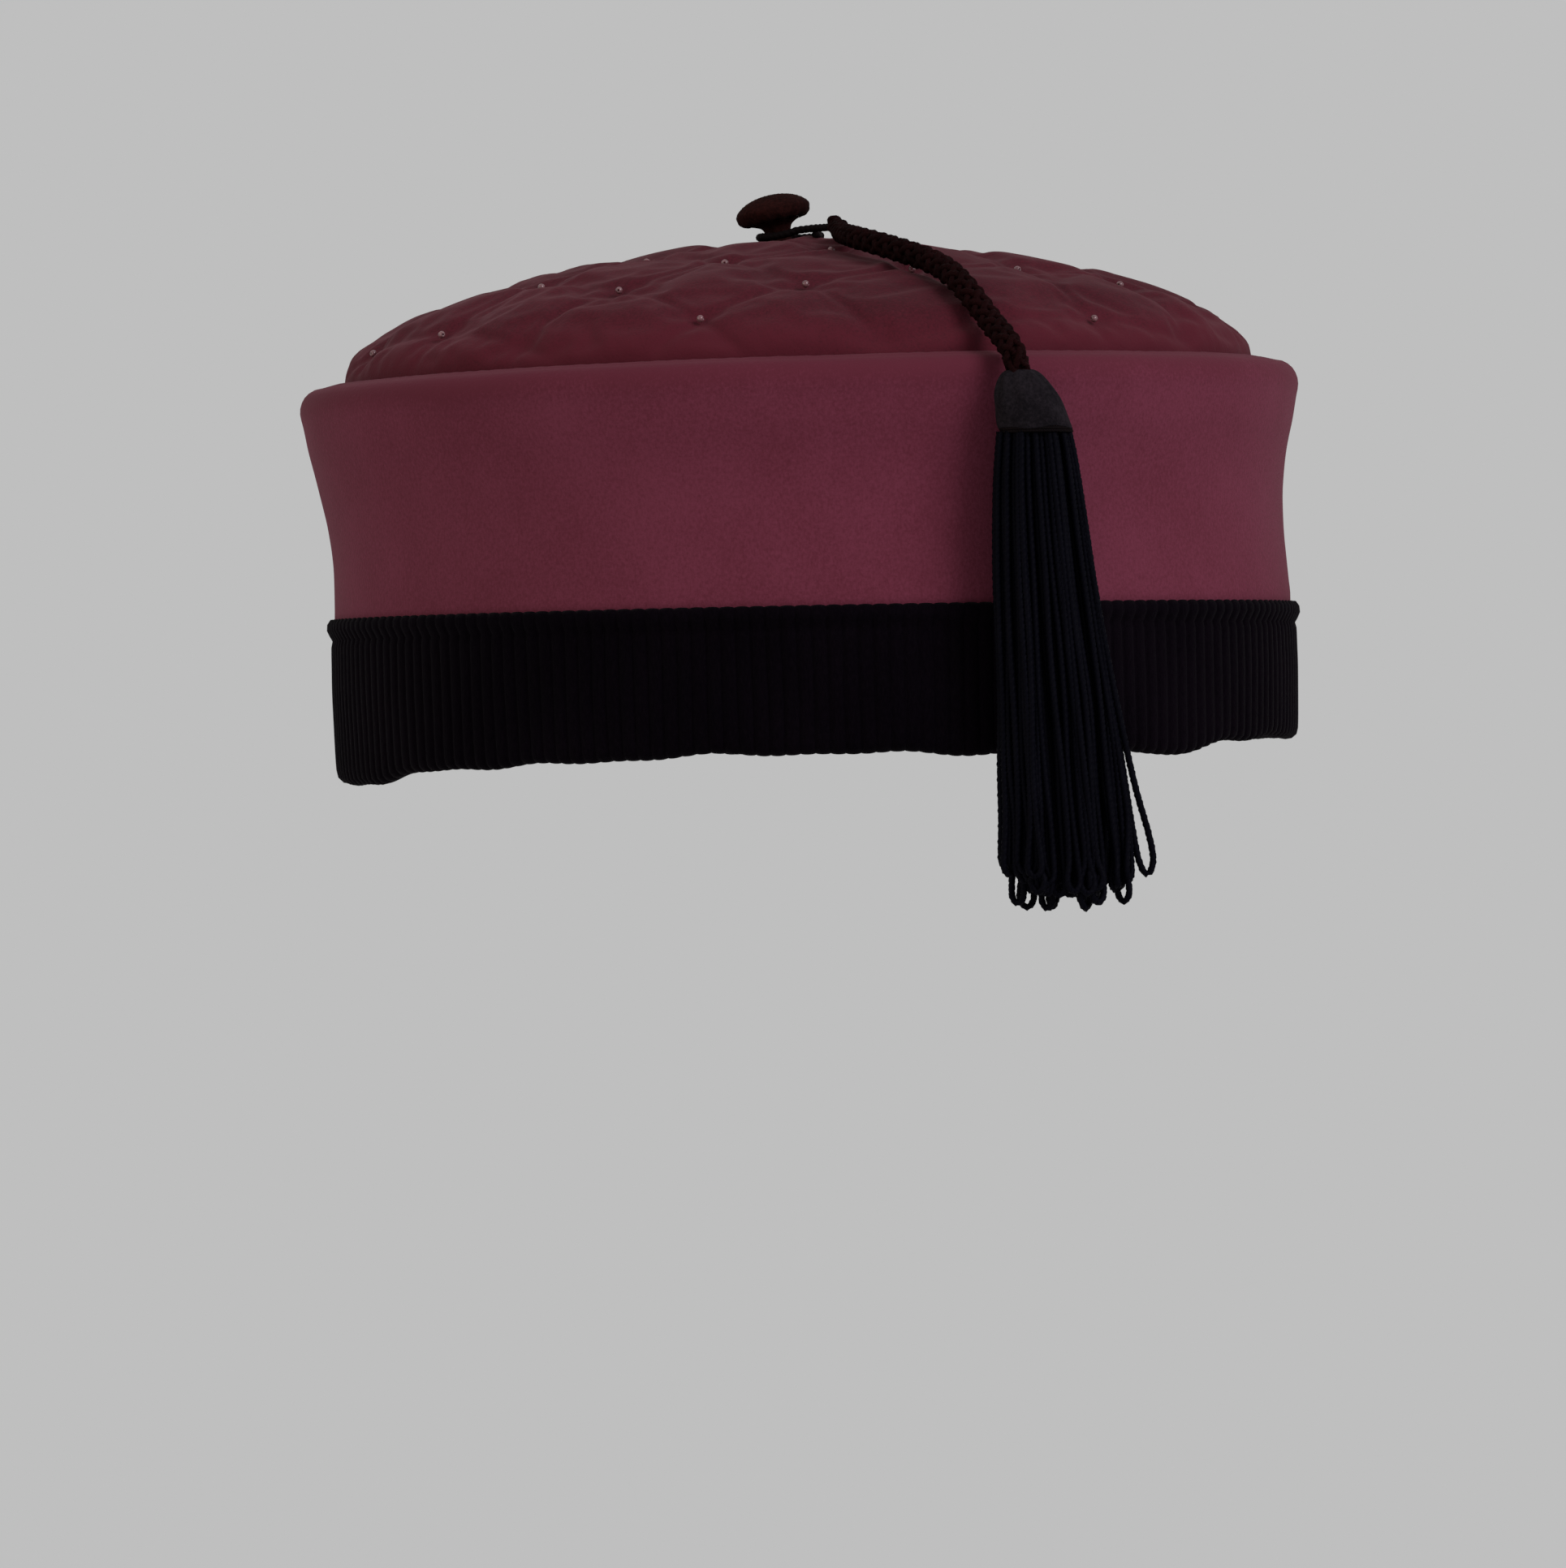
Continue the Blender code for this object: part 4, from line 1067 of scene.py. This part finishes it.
binding_turn = 2 * math.pi * np.linspace(0, BINDING_TURNS, 200)
binding_line = hang_on_line(MM * np.column_stack([
    BINDING_REACH * np.cos(binding_turn),
    BINDING_REACH * np.sin(binding_turn),
    BINDING_TOP - BINDING_STEP * binding_turn / (2 * math.pi),
]))
binding = one_strand("binding_thread", binding_line, BINDING_RADIUS, lay=1.6 * MM, corners=6)
finish_piece(binding, "tassel", "black_thread", thread_finish, "tassel_binding")

# %% Where the strands hang
SKIRT = np.array((
    # height, half width, half depth, sideways drift
    (61.0, 7.9, 5.6, 3.5),
    (56.5, 8.8, 5.8, 3.8),
    (50.0, 9.6, 6.1, 4.0),
    (38.0, 10.6, 6.3, 4.6),
    (24.0, 11.7, 6.5, 5.5),
    (8.0, 13.0, 6.7, 6.6),
    (-8.0, 13.9, 6.8, 7.5),
    (-22.0, 14.3, 6.8, 8.4),
    (-32.0, 13.1, 6.2, 9.0),
))
LOOPS = 72
LONG_LOOPS = 9
STRAND = 0.74
CROWDING = 0.16
LEVELS = np.array((61.0, 58.0, 52.0, 43.0, 32.0, 20.0, 8.0, -4.0, -14.0, -22.0))
chance = np.random.default_rng(11)


def strand_spot(height, u, v):
    """A strand's place at that height, from its place (u, v) in the bundle."""
    width, deep, drift = (np.interp(-height, -SKIRT[:, 0], SKIRT[:, k]) for k in (1, 2, 3))
    return drift + (width - STRAND) * u, (deep - STRAND) * v


order = np.arange(2 * LOOPS) + 0.5
bundle_reach = np.sqrt(order / (2 * LOOPS))
bundle_turn = order * math.pi * (3 - math.sqrt(5))
bundle_turn = bundle_turn + CROWDING * np.sin(7 * bundle_turn + 0.8)
bundle = np.column_stack([bundle_reach * np.cos(bundle_turn), bundle_reach * np.sin(bundle_turn)])
pairs, free = [], list(range(2 * LOOPS - 1, -1, -1))
while free:
    first = free.pop(0)
    second = min(free, key=lambda k: np.linalg.norm(bundle[k] - bundle[first]))
    free.remove(second)
    pairs.append((first, second))
pairs.sort(key=lambda pair: bundle[pair[0]][0])
long_ones = {pairs[k] for k in np.linspace(5, LOOPS - 6, LONG_LOOPS).astype(int)}
print("loops paired:", len(pairs), "- longer ones:", len(long_ones))

# %% Looped strands
LOOP_FOOT = -28.6
FOOT_RISE = 4.5
FOOT_CHANCE = (-0.6, 2.6)
LONG_FOOT = -31.2
LONG_RISE = 3.0
LONG_CHANCE = (-0.6, 0.6)
LEG_END = 5.0
LOOSE_SPAN = (58.0, -2.0)
STRAY_ASIDE = 0.45
WAVE_ASIDE = 0.35
STRAY_DEEP = 0.30
WAVE_DEEP = 0.25
LOOP_HALF_WIDTH = (1.2, 1.9)
LOOP_FORM = ((-1.15, 2.6), (-0.85, 0.8), (0.0, 0.0), (0.85, 0.8), (1.15, 2.6))
STRAND_PIECES = 4


def loop_line(first, second):
    """Down one strand, round the loop at the bottom, and up the other."""
    legs = []
    reach = max(abs(bundle[first][0]), abs(bundle[second][0]))
    end = LOOP_FOOT + FOOT_RISE * reach**4 + chance.uniform(*FOOT_CHANCE)
    if (first, second) in long_ones:
        end = LONG_FOOT + LONG_RISE * reach**4 + chance.uniform(*LONG_CHANCE)
    for k in (first, second):
        sway = chance.uniform(-1, 1, 4)
        leg = []
        for height in LEVELS[LEVELS > end + LEG_END]:
            x, y = strand_spot(height, *bundle[k])
            loose = ramp(height, *LOOSE_SPAN)
            x += loose * (STRAY_ASIDE * sway[0] + WAVE_ASIDE * math.sin(height * 0.11 + 6 * sway[1]))
            y += loose * (STRAY_DEEP * sway[2] + WAVE_DEEP * math.sin(height * 0.13 + 6 * sway[3]))
            leg.append((x, y, height))
        legs.append(leg)
    ends = np.array([leg[-1] for leg in legs])
    middle = ends.mean(axis=0)
    apart = (ends[1] - ends[0]) * (1, 1, 0)
    width = np.linalg.norm(apart)
    across = apart / max(width, NEARLY_ZERO) * np.clip(width / 2, *LOOP_HALF_WIDTH)
    foot = np.array((middle[0], middle[1], end))
    turn = [foot + across * aside + (0, 0, rise) for aside, rise in LOOP_FORM]
    return np.array(legs[0] + [tuple(p) for p in turn] + legs[1][::-1])


STRAY_LOOP = (
    (8.7, -1.5, 60.0), (10.8, -2.5, 50.0), (12.8, -3.0, 36.0), (15.4, -3.2, 20.0), (18.0, -3.2, 6.0),
    (21.0, -3.0, -8.0), (23.8, -2.8, -18.0), (24.6, -2.6, -23.0), (23.4, -2.4, -25.6), (21.8, -2.2, -23.0),
    (20.6, -2.0, -16.0), (19.2, -2.0, -6.0), (17.4, -2.2, 6.0), (14.8, -2.4, 22.0), (12.2, -2.2, 40.0),
    (8.4, -1.2, 60.0),
)
hang_from = np.array((TASSEL_X, TASSEL_Y, 0.0))
lines = [loop_line(first, second) for first, second in pairs] + [np.array(STRAY_LOOP)]
for count in range(STRAND_PIECES):
    strand_points, strand_faces = [], []
    for line in lines[count::STRAND_PIECES]:
        even = smooth_line((line + hang_from) * MM, spacing=0.75 * MM)
        sweep_strand(strand_points, strand_faces, even, STRAND * MM, plies=2, lay=3.0 * MM, corners=7)
    fringe = piece_from(f"looped_strands_{count + 1}", strand_points, strand_faces)
    finish_piece(fringe, "tassel", "tassel_strands", strand_finish, "tassel_skirt")

# %% [markdown]
# ## Hidden pieces
# Wadding, buckram and the moulds stay as plain solids, because nothing shows of them unless the
# cap is taken apart. They still get the finish of what they are.

# %% Hidden finishes
cotton = Finish("cotton_wadding", roughness=1.0)
fluff = cotton.place.noise(220.0, 4.0, 0.7)
cotton.feed("Base Color", fluff.tint(paint(208, 202, 190), paint(236, 232, 222)))
cotton.feed("Normal", fluff.bump(1.0 * MM, 0.6))
cotton.put_on(frame["nodes"]["crown_wadding"])

buckram = Finish("open_buckram", roughness=0.9)
open_weave = (buckram.place.part("Z") * 4200.0).sine() * 0.5 + 0.5
buckram.feed("Base Color", open_weave.tint(paint(178, 168, 146), paint(208, 198, 176)))
buckram.feed("Normal", open_weave.bump(0.2 * MM, 0.5))
buckram.put_on(frame["nodes"]["side_stiffener"])

beech = Finish("beech", roughness=0.6)
ring_grain = beech.place.stretched(1.0, 1.0, 0.15).noise(700.0, 3.0)
beech.feed("Base Color", ring_grain.tint(paint(170, 128, 84), paint(205, 166, 120)))
beech.put_on(frame["nodes"]["button_mould"], frame["nodes"]["tassel_head_core"])

tin = Finish("tinned_steel", roughness=0.4, metallic=1.0)
scuffed = tin.place.noise(800.0, 3.0)
tin.feed("Base Color", scuffed.tint(paint(168, 166, 162), paint(204, 202, 198)))
tin.feed("Roughness", 0.3 + scuffed * 0.25)
tin.put_on(frame["nodes"]["button_back"])
print("hidden pieces finished")

# %% [markdown]
# ## Stage
# A plain pale floor, a plain grey surround, one large soft light from the right and a weaker one
# from the left. The surround is grey to the camera alone, so it adds no light of its own.

# %% Floor and surround
SURROUND = paint(191, 191, 191)
FLOOR_TONE = paint(214, 214, 214)
FLOOR_SIZE = 8.0
FLOOR_HEIGHT = -0.30
AIR_LIGHT = 0.50


def mixed(tree, share, first, second):
    """Mixes two shaders: the first where the share is 0, the second where it is 1."""
    mix = tree.nodes.new("ShaderNodeMixShader")
    for source, socket in zip((share, first, second), mix.inputs):
        tree.links.new(source, socket)
    return mix.outputs[0]


start_clean()
bpy.ops.mesh.primitive_plane_add(size=FLOOR_SIZE, location=(0, 0, FLOOR_HEIGHT))
floor = bpy.context.object
floor.name = "floor"
ground = bpy.data.materials.new("floor")
ground.use_nodes = True
tree = ground.node_tree
matte = tree.nodes["Principled BSDF"]
matte.inputs["Base Color"].default_value = (*FLOOR_TONE, 1.0)
matte.inputs["Roughness"].default_value = 1.0
as_seen = tree.nodes.new("ShaderNodeEmission")
as_seen.inputs["Color"].default_value = (*SURROUND, 1.0)
through = tree.nodes.new("ShaderNodeBsdfTransparent")
camera_ray = tree.nodes.new("ShaderNodeLightPath").outputs["Is Camera Ray"]
from_below = tree.nodes.new("ShaderNodeNewGeometry").outputs["Backfacing"]
top_side = mixed(tree, camera_ray, matte.outputs[0], as_seen.outputs[0])
both_sides = mixed(tree, from_below, top_side, through.outputs[0])
tree.links.new(both_sides, tree.nodes["Material Output"].inputs["Surface"])
floor.data.materials.append(ground)

world = bpy.data.worlds.new("surround")
bpy.context.scene.world = world
world.use_nodes = True
air = world.node_tree
seen_grey = air.nodes["Background"]
seen_grey.inputs["Color"].default_value = (*SURROUND, 1.0)
lighting = air.nodes.new("ShaderNodeBackground")
lighting.inputs["Color"].default_value = (1.0, 1.0, 1.0, 1.0)
lighting.inputs["Strength"].default_value = AIR_LIGHT
seen = air.nodes.new("ShaderNodeLightPath").outputs["Is Camera Ray"]
either = mixed(air, seen, lighting.outputs[0], seen_grey.outputs[0])
air.links.new(either, air.nodes["World Output"].inputs["Surface"])


# %% Lights
AIM = Vector((0.0, 0.0, 50.0)) * MM


def soft_light(name, turn, height, distance, size, power, colour):
    """A square lamp at an angle to the camera's right, aimed at the cap."""
    lamp = bpy.data.lights.new(name, "AREA")
    lamp.shape = "SQUARE"
    lamp.size = size
    lamp.energy = power
    lamp.color = colour
    fixture = bpy.data.objects.new(name, lamp)
    bpy.context.scene.collection.objects.link(fixture)
    around = CAMERA_TURN + math.radians(turn)
    place = Vector((math.sin(around) * distance, -math.cos(around) * distance, height))
    facing = (AIM - place).to_track_quat("-Z", "Y")
    fixture.matrix_world = Matrix.Translation(place) @ facing.to_matrix().to_4x4()


soft_light("window", turn=48, height=1.1, distance=1.6, size=1.0, power=22.5, colour=(1.0, 0.93, 1.0))
soft_light("room", turn=-60, height=0.6, distance=1.8, size=1.6, power=9.5, colour=(1.0, 0.86, 0.68))
print("lights set")
